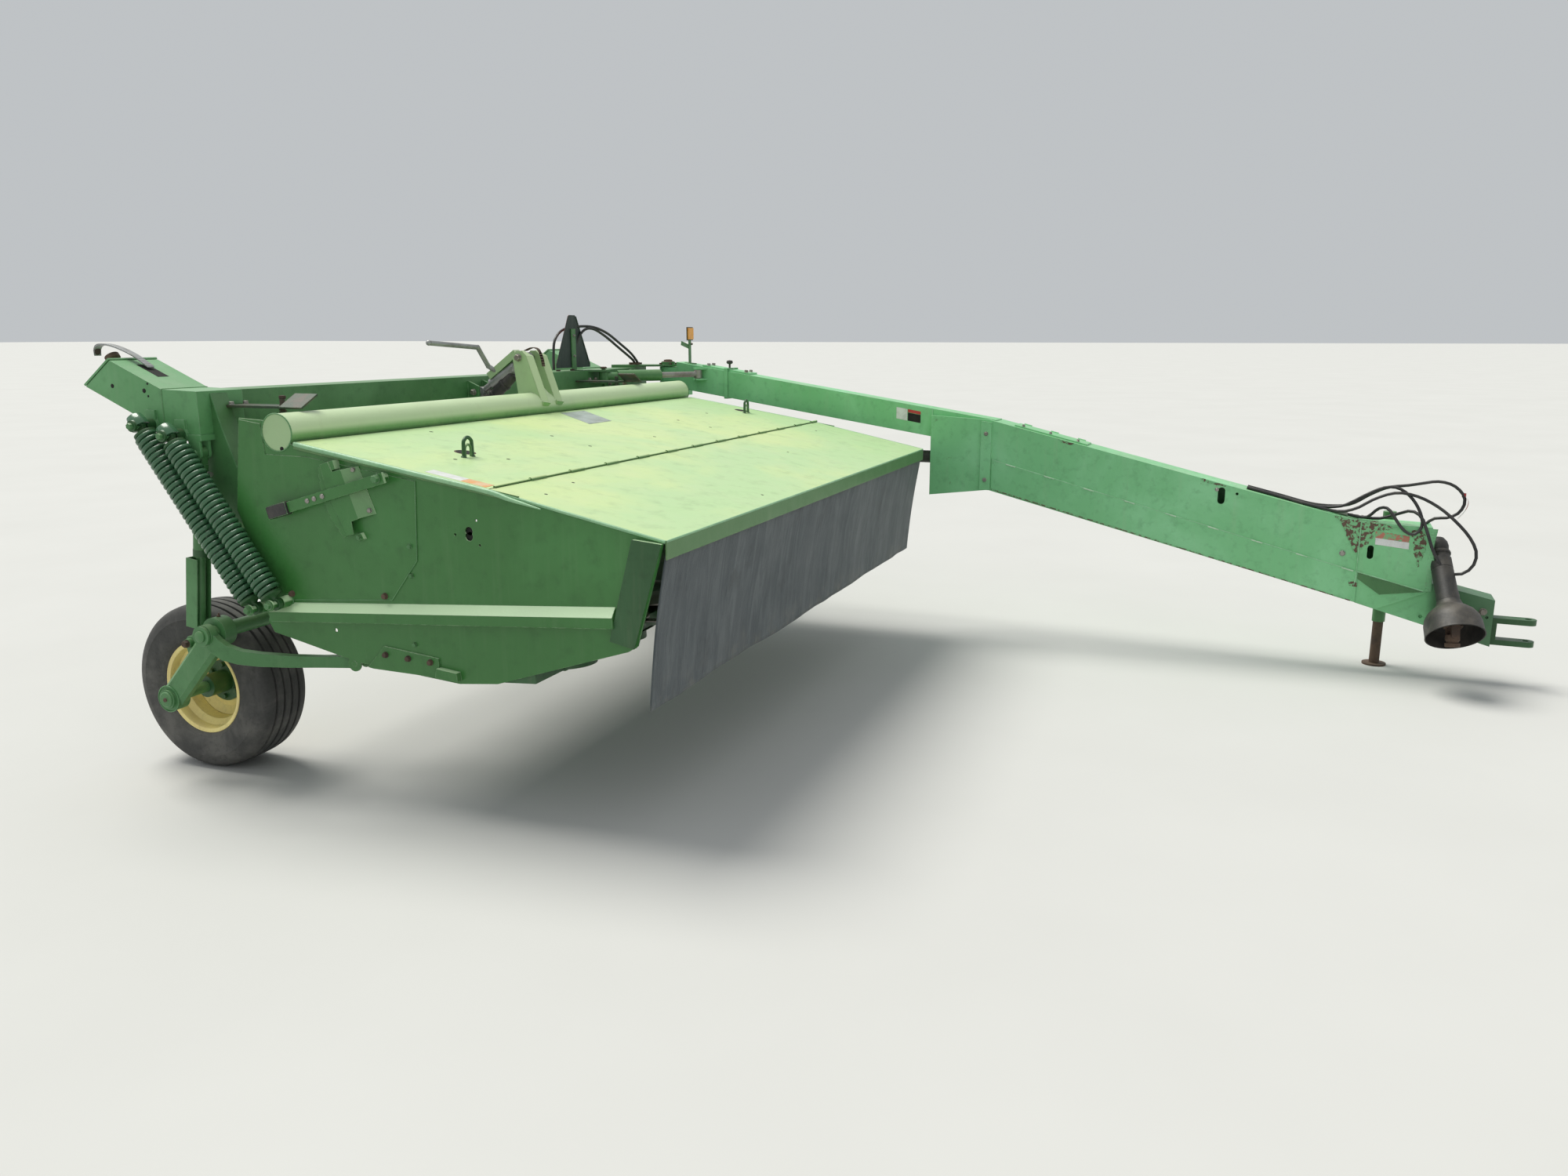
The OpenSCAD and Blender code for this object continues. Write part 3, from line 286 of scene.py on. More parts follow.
@dataclass(frozen=True)
class Finish:
    """One surface finish, from its tones and how it has aged.

    The patch mottles the base. Dust settles on what faces up, rust and chips come in spots, and edges wear.
    The upward faces are lightened, as sun bleaching and as painted light; the side tone paints shade on the upright
    faces; and the dark end paints shade, along with dirt, over one end of the machine.
    """

    name: str
    base: Point
    patch: Point
    patch_scale: float = 1.6
    patch_low: float = 0.42
    patch_high: float = 0.66
    rough: float = 0.5
    metal: float = 0.0
    coat: float = 0.0
    dust: float = 0.35
    dust_tone: Point = (0.30, 0.27, 0.19)
    rust: float = 0.0
    rust_tone: Point = (0.085, 0.035, 0.018)
    streaks: float = 0.2
    edge: float = 0.5
    edge_tone: Point = (0.20, 0.22, 0.16)
    edge_radius: float = 0.004
    grain: float = 90.0
    grain_depth: float = 0.0006
    # Lightening of the upward faces: partly sun bleaching, partly painted light on the tops.
    bleach_and_top_light: float = 0.0
    bleach_and_top_light_tone: Point = (0.34, 0.52, 0.24)
    bleach_and_top_light_from: float = 0.02
    chips: float = 0.0
    # The side tone is painted shade on the upright faces.
    side: float = 0.0
    side_shade_tone: Point = (0.17, 0.40, 0.15)
    # Painted shade, together with dirt, over one end along Y.
    shade_and_dirt_end: tuple[float, float] | None = None
    shade_and_dirt_share: float = 0.85
    shade_and_dirt_tone: Point = (0.045, 0.115, 0.050)
    chip_tone: Point = (0.78, 0.78, 0.70)

    def make(self) -> bpy.types.Material:
        """Builds the finish.

        Returns:
            A new material.
        """
        g = Graph(self.name)
        broad = g.cloud(self.patch_scale, 5.0, 0.6, warp=0.4)
        fine = g.cloud(self.patch_scale * 13.0, 6.0, 0.62)
        tone = g.blend(g.step(broad, self.patch_low, self.patch_high), self.base, self.patch)
        shade = tuple(c * 0.6 for c in self.base)
        tone = g.blend(g.step(fine, 0.48, 0.78, 0.0, 0.45), tone, shade)
        # Lightens the faces that look up: sun bleaching together with painted light from above.
        if self.bleach_and_top_light:
            tone = g.blend(
                g.step(g.axis(g.shape.outputs["Normal"], 2), self.bleach_and_top_light_from, self.bleach_and_top_light_from + 0.4, 0.0, self.bleach_and_top_light),
                tone, self.bleach_and_top_light_tone)
        # Darkens the upright faces with painted shade.
        if self.side:
            tone = g.blend(
                g.step(g.axis(g.shape.outputs["Normal"], 2), 0.15, 0.6, self.side, 0.0), tone, self.side_shade_tone)
        run = g.cloud(3.0, 5.0, 0.65, g.stretch((7.0, 7.0, 0.5)))
        tone = g.blend(g.step(run, 0.5, 0.78, 0.0, self.streaks), tone, self.dust_tone)
        up = g.step(g.axis(g.shape.outputs["Normal"], 2), 0.2, 0.95)
        settled = g.sum("MULTIPLY", g.step(g.cloud(5.0, 6.0, 0.6), 0.35, 0.75), up)
        tone = g.blend(g.sum("MULTIPLY", settled, self.dust), tone, self.dust_tone)
        edge = g.soft_edges(self.edge_radius)
        worn = g.sum("MULTIPLY", edge, g.step(g.cloud(24.0, 5.0, 0.7), 0.42, 0.6, 0.0, self.edge))
        tone = g.blend(worn, tone, self.edge_tone)
        spots = g.step(g.cloud(21.0, 8.0, 0.72), 0.64, 0.68)
        near = g.step(g.cloud(2.3, 3.0, 0.5), 0.5, 0.68)
        rusty = g.sum("MULTIPLY", g.sum("MULTIPLY", spots, near), self.rust)
        tone = g.blend(rusty, tone, self.rust_tone)
        if self.chips:
            flakes = g.sum(
                "MULTIPLY", g.step(g.cloud(62.0, 3.0, 0.6), 0.66, 0.675), g.step(g.cloud(1.9, 2.0, 0.5), 0.48, 0.62)
            )
            tone = g.blend(g.sum("MULTIPLY", flakes, g.sum("MULTIPLY", up, self.chips)), tone, self.chip_tone)
        # Darkens one end along Y: painted shade together with dirt.
        if self.shade_and_dirt_end:
            tone = g.blend(
                g.step(g.axis(g.place, 1), self.shade_and_dirt_end[0], self.shade_and_dirt_end[1], 0.0, self.shade_and_dirt_share), tone,
                self.shade_and_dirt_tone)
        g.link(tone, g.shader.inputs["Base Color"])
        rough = g.sum("ADD", g.sum("MULTIPLY", fine, 0.22), self.rough - 0.1)
        g.link(g.sum("ADD", rough, g.sum("MULTIPLY", rusty, 0.3)), g.shader.inputs["Roughness"])
        g.shader.inputs["Metallic"].default_value = self.metal
        g.shader.inputs["Coat Weight"].default_value = self.coat
        g.relief(g.cloud(self.grain, 4.0, 0.6), self.grain_depth)
        return g.material


@dataclass(frozen=True)
class Canvas:
    """The grey coated canvas of the curtain."""

    name: str = "curtain_canvas"
    base: Point = (0.040, 0.056, 0.064)
    # Tone of the crease ridges: wear together with painted light on the folds.
    worn: Point = (0.088, 0.108, 0.114)
    threads: float = 520.0

    def make(self) -> bpy.types.Material:
        """Builds the finish.

        Returns:
            A new material.
        """
        g = Graph(self.name)
        creases = g.cloud(2.6, 6.0, 0.68, g.stretch((6.0, 6.0, 0.8)), 0.6)
        # Lighter on the crease ridges and darker in the hollows: painted light and shade on the folds, along with
        # wear.
        tone = g.blend(g.step(creases, 0.42, 0.7), self.base, self.worn)
        dark = g.cloud(4.0, 5.0, 0.7)
        tone = g.blend(g.step(dark, 0.56, 0.8, 0.0, 0.7), tone, (0.028, 0.034, 0.036))
        low = g.step(g.axis(g.place, 2), 0.72, 0.53)
        tone = g.blend(
            g.sum("MULTIPLY", low, g.step(g.cloud(9.0, 6.0, 0.7), 0.45, 0.7, 0.0, 0.5)), tone, (0.17, 0.165, 0.13))
        g.link(tone, g.shader.inputs["Base Color"])
        g.link(g.step(dark, 0.3, 0.8, 0.62, 0.85), g.shader.inputs["Roughness"])
        weave = [self.tree_wave(g, way) for way in ("X", "Z")]
        g.relief(g.sum("ADD", weave[0], weave[1]), 0.0004)
        g.relief(creases, 0.006)
        g.shader.inputs["Sheen Weight"].default_value = 0.25
        return g.material

    def tree_wave(self, g: Graph, way: str) -> bpy.types.NodeSocket:
        """Adds one set of threads along X or Z and gives its height.

        Args:
            g: The graph of the finish.
            way: The letter of the axis.

        Returns:
            A node socket with the height.
        """
        node = g.tree.nodes.new("ShaderNodeTexWave")
        node.bands_direction = way
        node.inputs["Scale"].default_value = self.threads / 6.28
        g.tree.links.new(g.place, node.inputs["Vector"])
        return node.outputs["Fac"]


# Where a finish below lightens its upward faces, that is painted light on the tops along with sun bleaching.
GREEN = Finish(
    "weathered_green", (0.058, 0.190, 0.060), (0.088, 0.250, 0.090), dust=0.25, dust_tone=(0.34, 0.37, 0.24),
    rust=0.3, rough=0.4, streaks=0.07, edge=0.45, edge_tone=(0.30, 0.46, 0.28), bleach_and_top_light=0.35,
    bleach_and_top_light_tone=(0.18, 0.34, 0.15), chips=0.5)
ARM_GREEN = Finish(
    "arm_green", (0.110, 0.320, 0.120), (0.150, 0.390, 0.165), dust=0.25, dust_tone=(0.42, 0.47, 0.36), rust=0.3,
    rough=0.4, streaks=0.07, edge=0.45, edge_tone=(0.34, 0.52, 0.34), bleach_and_top_light=0.35, bleach_and_top_light_tone=(0.26, 0.48, 0.26),
    chips=0.6)
PANEL_GREEN = Finish(
    "panel_green", (0.040, 0.172, 0.036), (0.052, 0.208, 0.050), patch_scale=1.1, dust=0.14,
    dust_tone=(0.40, 0.48, 0.32), rust=0.15, rough=0.34, streaks=0.04, edge=0.6, edge_tone=(0.34, 0.52, 0.30),
    bleach_and_top_light=0.95, bleach_and_top_light_tone=(0.62, 0.84, 0.52), chips=1.0)
# The tongue's nose end takes painted shade together with dirt.
TONGUE_GREEN = Finish(
    "bleached_green", (0.200, 0.560, 0.250), (0.265, 0.650, 0.330), rust=0.9, dust=0.28,
    dust_tone=(0.46, 0.47, 0.36), rough=0.42, edge=0.5, edge_tone=(0.42, 0.60, 0.42), streaks=0.10, chips=0.6,
    shade_and_dirt_end=(-2.535, -2.60))
# Hood paint: a bleached top, with painted shade on the upright faces such as the front lip.
FADED_SHADED_SIDES = Finish(
    "sun_faded_hood_shaded_sides", (0.480, 0.680, 0.350), (0.600, 0.730, 0.340), patch_scale=0.9, dust=0.16,
    dust_tone=(0.62, 0.66, 0.44), rust=0.2, rough=0.4, streaks=0.05, edge=0.6, edge_tone=(0.42, 0.52, 0.24),
    grain_depth=0.0004, side=0.95, side_shade_tone=(0.070, 0.190, 0.060))
# Folded hood edges: a lighter green that paints a highlight along them.
FLANGE_HIGHLIGHT_GREEN = Finish(
    "hood_flange_highlight", (0.230, 0.460, 0.250), (0.300, 0.540, 0.300), patch_scale=6.0, dust=0.15,
    dust_tone=(0.5, 0.58, 0.42), rust=0.2, rough=0.34, edge=0.0, streaks=0.05)
# Header tube: bleached paint, with painted light on its top reaching down its sides.
TOP_LIT_FADED_TUBE = Finish(
    "sun_faded_top_lit_tube", (0.165, 0.370, 0.130), (0.225, 0.440, 0.160), patch_scale=1.2, dust=0.2,
    dust_tone=(0.45, 0.52, 0.32), rust=0.15, rough=0.36, edge=0.5, edge_tone=(0.50, 0.62, 0.30), bleach_and_top_light=0.95,
    bleach_and_top_light_tone=(0.58, 0.72, 0.44), bleach_and_top_light_from=-0.2)
DARK_GREEN = Finish(
    "dark_green", (0.022, 0.092, 0.026), (0.034, 0.118, 0.040), dust=0.35, dust_tone=(0.18, 0.19, 0.12), rust=0.3,
    rough=0.42, edge=0.4, edge_tone=(0.12, 0.20, 0.11))
SPRING_GREEN = Finish(
    "spring_paint", (0.026, 0.100, 0.042), (0.040, 0.135, 0.060), dust=0.12, dust_tone=(0.22, 0.26, 0.18),
    rust=0.12, rough=0.24, edge=0.0, streaks=0.03, grain_depth=0.0003, coat=0.3, bleach_and_top_light=0.3,
    bleach_and_top_light_tone=(0.10, 0.24, 0.13))
WELD_GREEN = Finish(
    "weld_bead_paint", (0.090, 0.260, 0.095), (0.140, 0.330, 0.140), patch_scale=14.0, dust=0.15, rust=0.7,
    rough=0.36, edge=0.0, grain=400.0)
# Tongue welds: a lighter copy of the tongue green that paints a highlight on the beads.
TONGUE_WELD_HIGHLIGHT = Finish(
    "tongue_weld_highlight", (0.330, 0.650, 0.380), (0.230, 0.560, 0.270), patch_scale=14.0, dust=0.15, rust=0.9, rough=0.3,
    edge=0.0, grain=400.0)
# Near-white green for the seam's weld dashes: a painted highlight on the beads.
WELD_BEAD_HIGHLIGHT = Finish(
    "weld_bead_highlight", (0.52, 0.72, 0.52), (0.34, 0.62, 0.38), patch_scale=20.0, dust=0.2, rust=0.6, rough=0.3,
    edge=0.0, grain=400.0)
# Latch plates: dark rusty green whose darkness is painted shade along with rust.
SHADED_LATCH_GREEN = Finish(
    "rusty_latch_painted_shade", (0.030, 0.062, 0.030), (0.085, 0.062, 0.040), patch_scale=12.0, dust=0.2,
    dust_tone=(0.10, 0.10, 0.07), rust=1.2, rough=0.5, edge=0.5, edge_tone=(0.26, 0.36, 0.22))
YELLOW = Finish(
    "dusty_yellow", (0.97, 0.82, 0.32), (0.84, 0.68, 0.27), patch_scale=5.0, dust=0.35,
    dust_tone=(0.55, 0.47, 0.30), rust=1.0, rough=0.46, streaks=0.18, edge=0.4, edge_tone=(0.42, 0.3, 0.14))
TYRE_RUBBER = Finish(
    "tyre_rubber", (0.058, 0.058, 0.056), (0.125, 0.122, 0.112), patch_scale=4.0, dust=0.3,
    dust_tone=(0.25, 0.245, 0.225), rough=0.8, streaks=0.14, edge=0.3, edge_tone=(0.13, 0.115, 0.095),
    edge_radius=0.002, grain_depth=0.0008)
STEEL = Finish(
    "worn_steel", (0.34, 0.33, 0.30), (0.20, 0.17, 0.14), patch_scale=6.0, metal=0.7, rough=0.42, dust=0.3,
    rust=0.6, edge=0.4, edge_tone=(0.5, 0.5, 0.46))
GALVANISED = Finish(
    "galvanised", (0.36, 0.37, 0.37), (0.26, 0.26, 0.25), patch_scale=16.0, metal=0.55, rough=0.42, dust=0.2,
    rust=0.7, edge=0.3, edge_tone=(0.5, 0.5, 0.48))
RUSTY = Finish(
    "rusty_steel", (0.125, 0.080, 0.055), (0.070, 0.048, 0.038), patch_scale=8.0, metal=0.2, rough=0.75, dust=0.35,
    dust_tone=(0.22, 0.18, 0.13), rust=0.5, edge=0.4, edge_tone=(0.20, 0.15, 0.11), grain_depth=0.0012)
RUST_MARK = Finish(
    "rust_mark", (0.120, 0.068, 0.048), (0.205, 0.530, 0.250), patch_scale=46.0, patch_low=0.47, patch_high=0.53,
    rough=0.7, dust=0.2, rust=0.8, edge=0.0, grain=260.0, grain_depth=0.0008)
BLACK_PLASTIC = Finish(
    "black_shield", (0.022, 0.022, 0.021), (0.058, 0.053, 0.046), patch_scale=6.0, dust=0.5,
    dust_tone=(0.20, 0.175, 0.14), rough=0.5, edge=0.3, edge_tone=(0.11, 0.10, 0.085))
HOSE_RUBBER = Finish(
    "hose_rubber", (0.020, 0.020, 0.021), (0.042, 0.040, 0.038), patch_scale=9.0, dust=0.3,
    dust_tone=(0.16, 0.15, 0.12), rough=0.38, edge=0.0, grain_depth=0.0002)
SHADOW = Finish(
    "dark_hollow", (0.010, 0.011, 0.009), (0.018, 0.018, 0.015), patch_scale=20.0, rough=0.9, dust=0.1,
    dust_tone=(0.05, 0.05, 0.04), edge=0.0)
SIGN_BACK = Finish(
    "sign_back", (0.018, 0.034, 0.030), (0.030, 0.050, 0.044), rough=0.5, dust=0.2, dust_tone=(0.14, 0.16, 0.14),
    edge=0.3, edge_tone=(0.10, 0.13, 0.12))
SIGN_ORANGE = Finish("sign_orange", (0.75, 0.16, 0.02), (0.62, 0.17, 0.03), rough=0.4, dust=0.2, edge=0.2)
SIGN_RED = Finish("sign_red", (0.50, 0.030, 0.030), (0.42, 0.04, 0.035), rough=0.4, dust=0.2, edge=0.0)
BLANK_PLATE = Finish(
    "blank_plate", (0.42, 0.48, 0.46), (0.30, 0.35, 0.33), patch_scale=12.0, rough=0.4, metal=0.2, dust=0.2,
    rust=0.2, edge=0.0)
STICKER_WHITE = Finish(
    "white_label", (0.74, 0.76, 0.74), (0.60, 0.62, 0.60), patch_scale=14.0, rough=0.45, dust=0.15, edge=0.0)
STICKER_ORANGE = Finish(
    "orange_label", (0.74, 0.36, 0.13), (0.70, 0.50, 0.30), patch_scale=14.0, rough=0.45, dust=0.2, edge=0.0)
STICKER_RED = Finish(
    "worn_red_label", (0.195, 0.470, 0.220), (0.50, 0.17, 0.12), patch_scale=30.0, patch_low=0.46, patch_high=0.54,
    rough=0.5, dust=0.3, rust=0.3, edge=0.0)
AMBER = Finish(
    "amber_lens", (0.90, 0.38, 0.02), (0.80, 0.30, 0.02), patch_scale=30.0, rough=0.15, dust=0.1, edge=0.0,
    streaks=0.0, coat=0.5)
CANVAS = Canvas()

NODE_FINISHES: dict[str, Finish] = {
    "spring_arm_right": ARM_GREEN, "spring_arm_left": ARM_GREEN, "transport_latches": SHADED_LATCH_GREEN,
    "header_tube": TOP_LIT_FADED_TUBE, "hood_rear": FADED_SHADED_SIDES, "hood_front": FADED_SHADED_SIDES, "tongue_tube": TONGUE_GREEN,
    "tongue_box": TONGUE_GREEN, "end_panel_right": PANEL_GREEN, "end_panel_left": PANEL_GREEN, "jack_sleeve": GREEN,
    "jack_leg": RUSTY, "impeller": STEEL, "cutterbar": DARK_GREEN, "crop_pan": DARK_GREEN,
    "conditioner_hood": DARK_GREEN, "drive_gearbox": DARK_GREEN, "hitch_clevis": DARK_GREEN,
    "tilt_link": GALVANISED,}
NODE_STARTS: dict[str, Finish] = {"disc_": STEEL, "hub_": DARK_GREEN, "lift_rod": GREEN, "swing_rod": STEEL}


class Paintshop:
    """Makes each finish once and hands it out."""

    def __init__(self) -> None:
        """Starts with no finish made."""
        self.made: dict[str, bpy.types.Material] = {}

    def get(self, finish: Finish | Canvas) -> bpy.types.Material:
        """Gives the material of a finish."""
        if finish.name not in self.made:
            self.made[finish.name] = finish.make()
        return self.made[finish.name]

    def dress_nodes(self, nodes: dict[str, bpy.types.Object]) -> None:
        """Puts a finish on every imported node.

        Args:
            nodes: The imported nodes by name.
        """
        for name, obj in nodes.items():
            finish = NODE_FINISHES.get(name)
            for start, other in NODE_STARTS.items():
                if finish is None and name.startswith(start):
                    finish = other
            for entry in obj.material_slots:
                entry.material = self.get(finish or GREEN)


SHOP = Paintshop()


@dataclass
class Shape:
    """A mesh being put together from simple forms, in metres."""

    verts: list[Vector] = field(default_factory=list)
    faces: list[tuple[int, ...]] = field(default_factory=list)
    tones: list[int] = field(default_factory=list)

    def add(self, verts: list[Vector], faces: list[tuple[int, ...]], tone: int = 0) -> None:
        """Adds vertices and the faces between them.

        Args:
            verts: New vertices.
            faces: Faces, numbered within the new vertices.
            tone: Which of the piece's finishes they take.
        """
        start = len(self.verts)
        self.verts += verts
        self.faces += [tuple(start + i for i in f) for f in faces]
        self.tones += [tone] * len(faces)

    def sweep(self, path: list[Vector], radius: float | list[float], sides: int = 10, tone: int = 0) -> None:
        """Adds a round bar that follows a path.

        Args:
            path: The places along its middle.
            radius: Its radius in metres, or one for each point.
            sides: Corners of its section.
            tone: Which finish it takes.
        """
        verts: list[Vector] = []
        side = None
        for i, p in enumerate(path):
            ahead = (path[min(i + 1, len(path) - 1)] - path[max(i - 1, 0)]).normalized()
            if side is None:
                side = ahead.orthogonal().normalized()
            side = (side - ahead * side.dot(ahead)).normalized()
            other = ahead.cross(side)
            wide = radius[i] if isinstance(radius, list) else radius
            for k in range(sides):
                a = 2 * math.pi * k / sides
                verts.append(p + (side * math.cos(a) + other * math.sin(a)) * wide)
        faces = [
            (i * sides + k, i * sides + (k + 1) % sides, (i + 1) * sides + (k + 1) % sides, (i + 1) * sides + k)
            for i in range(len(path) - 1) for k in range(sides)
        ]
        last = (len(path) - 1) * sides
        faces += [tuple(range(sides - 1, -1, -1)), tuple(range(last, last + sides))]
        self.add(verts, faces, tone)

    def lathe(
        self, profile: list[Flat], place: Matrix, steps: int = 48, tone: int = 0, closed: bool = False) -> None:
        """Adds a turned form.

        Args:
            profile: Radius and height pairs in millimetres.
            place: The frame whose Z is the turning axis.
            steps: Corners round the axis.
            tone: Which finish it takes.
            closed: True where the profile is a ring section.
        """
        verts = [
            place @ Vector((r * math.cos(2 * math.pi * k / steps), r * math.sin(2 * math.pi * k / steps), z))
            for k in range(steps) for r, z in ((r / 1000.0, z / 1000.0) for r, z in profile)]
        count = len(profile)
        spans = range(count if closed else count - 1)
        faces = [
            (
                k * count + i, ((k + 1) % steps) * count + i, ((k + 1) % steps) * count + (i + 1) % count,
                k * count + (i + 1) % count)
            for k in range(steps) for i in spans]
        if not closed:
            faces += [
                tuple(k * count for k in range(steps - 1, -1, -1)),
                tuple(k * count + count - 1 for k in range(steps))]
        self.add(verts, faces, tone)

    def prism(self, outline: list[Flat], depth: float, place: Matrix, tone: int = 0) -> None:
        """Adds a plate.

        Args:
            outline: Its corners in millimetres in the frame's XY plane, anticlockwise.
            depth: Its thickness along the frame's Z, in millimetres.
            place: The frame it stands in.
            tone: Which finish it takes.
        """
        n = len(outline)
        turn = sum(a[0] * b[1] - b[0] * a[1] for a, b in zip(outline, outline[1:] + outline[:1]))
        if turn < 0.0:
            outline = outline[::-1]
        verts = [place @ (Vector((x, y, z)) / 1000.0) for z in (0.0, depth) for x, y in outline]
        faces = [tuple(range(n - 1, -1, -1)), tuple(range(n, 2 * n))]
        faces += [(i, (i + 1) % n, n + (i + 1) % n, n + i) for i in range(n)]
        self.add(verts, faces, tone)

    def side_plate(self, side: Side, outline: list[Flat], out: float, depth: float, tone: int = 0) -> None:
        """Adds a plate on one side of the machine.

        Args:
            side: Which side it is on.
            outline: Its corners, distance back and height, in millimetres.
            out: How far outwards its inner face lies.
            depth: Its thickness in millimetres.
            tone: Which finish it takes.
        """
        s = side.value
        place = looking(at(s * out, 0.0, 0.0), Vector((float(s), 0.0, 0.0)))
        self.prism([(s * y, z) for y, z in outline], depth, place, tone)

    def slab(self, corners: list[Vector], thick: Vector, tone: int = 0) -> None:
        """Adds a flat piece from its corners and the way it is thick.

        Args:
            corners: The corners of one face, in order.
            thick: The way to the other face.
            tone: The number of the finish.
        """
        n = len(corners)
        middle = sum(corners, Vector()) / n
        normal = sum(((a - middle).cross(b - middle) for a, b in zip(corners, corners[1:] + corners[:1])), Vector())
        ring = corners if normal.dot(thick) > 0.0 else corners[::-1]
        faces = [tuple(range(n - 1, -1, -1)), tuple(range(n, 2 * n))] + [
            (i, (i + 1) % n, n + (i + 1) % n, n + i) for i in range(n)]
        self.add(ring + [p + thick for p in ring], faces, tone)

    def disc(self, place: Vector, out: Vector, radius: float, depth: float = 1.0, tone: int = 0) -> None:
        """Adds a thin round plate that faces a way."""
        self.lathe(
            [(0.0, -0.5), (radius, -0.5), (radius, depth * 0.7), (radius * 0.94, depth), (0.0, depth)],
            looking(place, out), 28, tone)

    def weld(self, path: list[Vector], radius: float, tone: int = 0) -> None:
        """Adds a rippled weld bead along a path.

        Args:
            path: The points along the bead.
            radius: The radius of the bead in metres.
            tone: The number of the finish.
        """
        count = max(4, int(path_length(path) / (radius * 2.2)))
        line = polyline(path, count)
        swell = [
            radius * (1.12 if i % 2 else 0.86) * (1.0 + 0.2 * noise.noise(p * 40.0)) for i, p in enumerate(line)]
        self.sweep(line, swell, 6, tone)

    def bolt(self, place: Vector, out: Vector, across: float = 19.0, tone: int = 0) -> None:
        """Adds a hexagon head on a washer.

        Args:
            place: Where it sits, on the surface.
            out: The direction it stands out.
            across: Width over its flats in millimetres.
            tone: Which finish it takes.
        """
        base = looking(place, out)
        r = across / 2
        self.lathe([(0.0, -0.5), (r * 1.35, -0.5), (r * 1.35, 2.0), (0.0, 2.0)], base, 20, tone)
        head = base @ Matrix.Translation((0.0, 0.0, 0.002)) @ Matrix.Rotation(place.x * 7.0 + place.z * 5.0, 4, "Z")
        corner = r * 1.155
        self.lathe(
            [
                (0.0, 0.0), (corner, 0.0), (corner, across * 0.52), (corner * 0.86, across * 0.62),
                (0.0, across * 0.62)],
            head, 6, tone)

    def build(
        self, name: str, finishes: list[Finish | Canvas], body: str, smooth: float = 32.0, bevel: float = 0.0
    ) -> bpy.types.Object:
        """Makes the object and lets it ride on a body.

        Args:
            name: The piece's name.
            finishes: The finishes its tones point at.
            body: The body that it moves with.
            smooth: The angle in degrees above which an edge stays sharp.
            bevel: Width of rounded edges in millimetres, or 0 for none.

        Returns:
            The new object.
        """
        mesh = bpy.data.meshes.new(name)
        mesh.from_pydata([tuple(v) for v in self.verts], [], self.faces)
        for finish in finishes:
            mesh.materials.append(SHOP.get(finish))
        for face, tone in zip(mesh.polygons, self.tones):
            face.material_index = tone
            face.use_smooth = True
        mesh.set_sharp_from_angle(angle=math.radians(smooth))
        mesh.validate()
        obj = bpy.data.objects.new(name, mesh)
        bpy.context.collection.objects.link(obj)
        if bevel:
            rounding = obj.modifiers.new("rounding", "BEVEL")
            rounding.width = bevel / 1000.0
            rounding.segments = 2
            rounding.limit_method = "ANGLE"
            rounding.angle_limit = math.radians(40)
        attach(obj, body)
        LOG.info("piece %s: %d faces", name, len(mesh.polygons))
        return obj


def curve_points(knots: list[Vector], count: int) -> list[Vector]:
    """Draws a smooth line through places, evenly spaced along its length.

    Args:
        knots: The places it runs through.
        count: How many points to give.

    Returns:
        The points.
    """
    ends = [knots[0] * 2 - knots[1]] + knots + [knots[-1] * 2 - knots[-2]]
    fine: list[Vector] = []
    for i in range(1, len(ends) - 2):
        a, b, c, d = ends[i - 1 : i + 3]
        for k in range(24):
            t = k / 24.0
            fine.append(
                0.5 * ((2 * b) + (c - a) * t + (2 * a - 5 * b + 4 * c - d) * t * t + (3 * b - a - 3 * c + d) * t**3)
            )
    fine.append(knots[-1])
    run = [0.0]
    for a, b in zip(fine, fine[1:]):
        run.append(run[-1] + (b - a).length)
    points: list[Vector] = []
    j = 0
    for i in range(count):
        want = run[-1] * i / (count - 1)
        while j < len(run) - 2 and run[j + 1] < want:
            j += 1
        span = run[j + 1] - run[j]
        points.append(fine[j].lerp(fine[j + 1], (want - run[j]) / span if span else 0.0))
    return points


def polyline(path: list[Vector], count: int) -> list[Vector]:
    """Spaces points evenly along straight pieces.

    Args:
        path: The corners of the line.
        count: How many points to give.

    Returns:
        The points.
    """
    total = path_length(path)
    points: list[Vector] = []
    done, j = 0.0, 0
    for i in range(count):
        want = total * i / (count - 1)
        while j < len(path) - 2 and done + (path[j + 1] - path[j]).length < want:
            done += (path[j + 1] - path[j]).length
            j += 1
        span = (path[j + 1] - path[j]).length
        points.append(path[j].lerp(path[j + 1], (want - done) / span if span else 0.0))
    return points


def path_length(path: list[Vector]) -> float:
    """Gives the length of a line of points in metres."""
    return sum((b - a).length for a, b in zip(path, path[1:]))


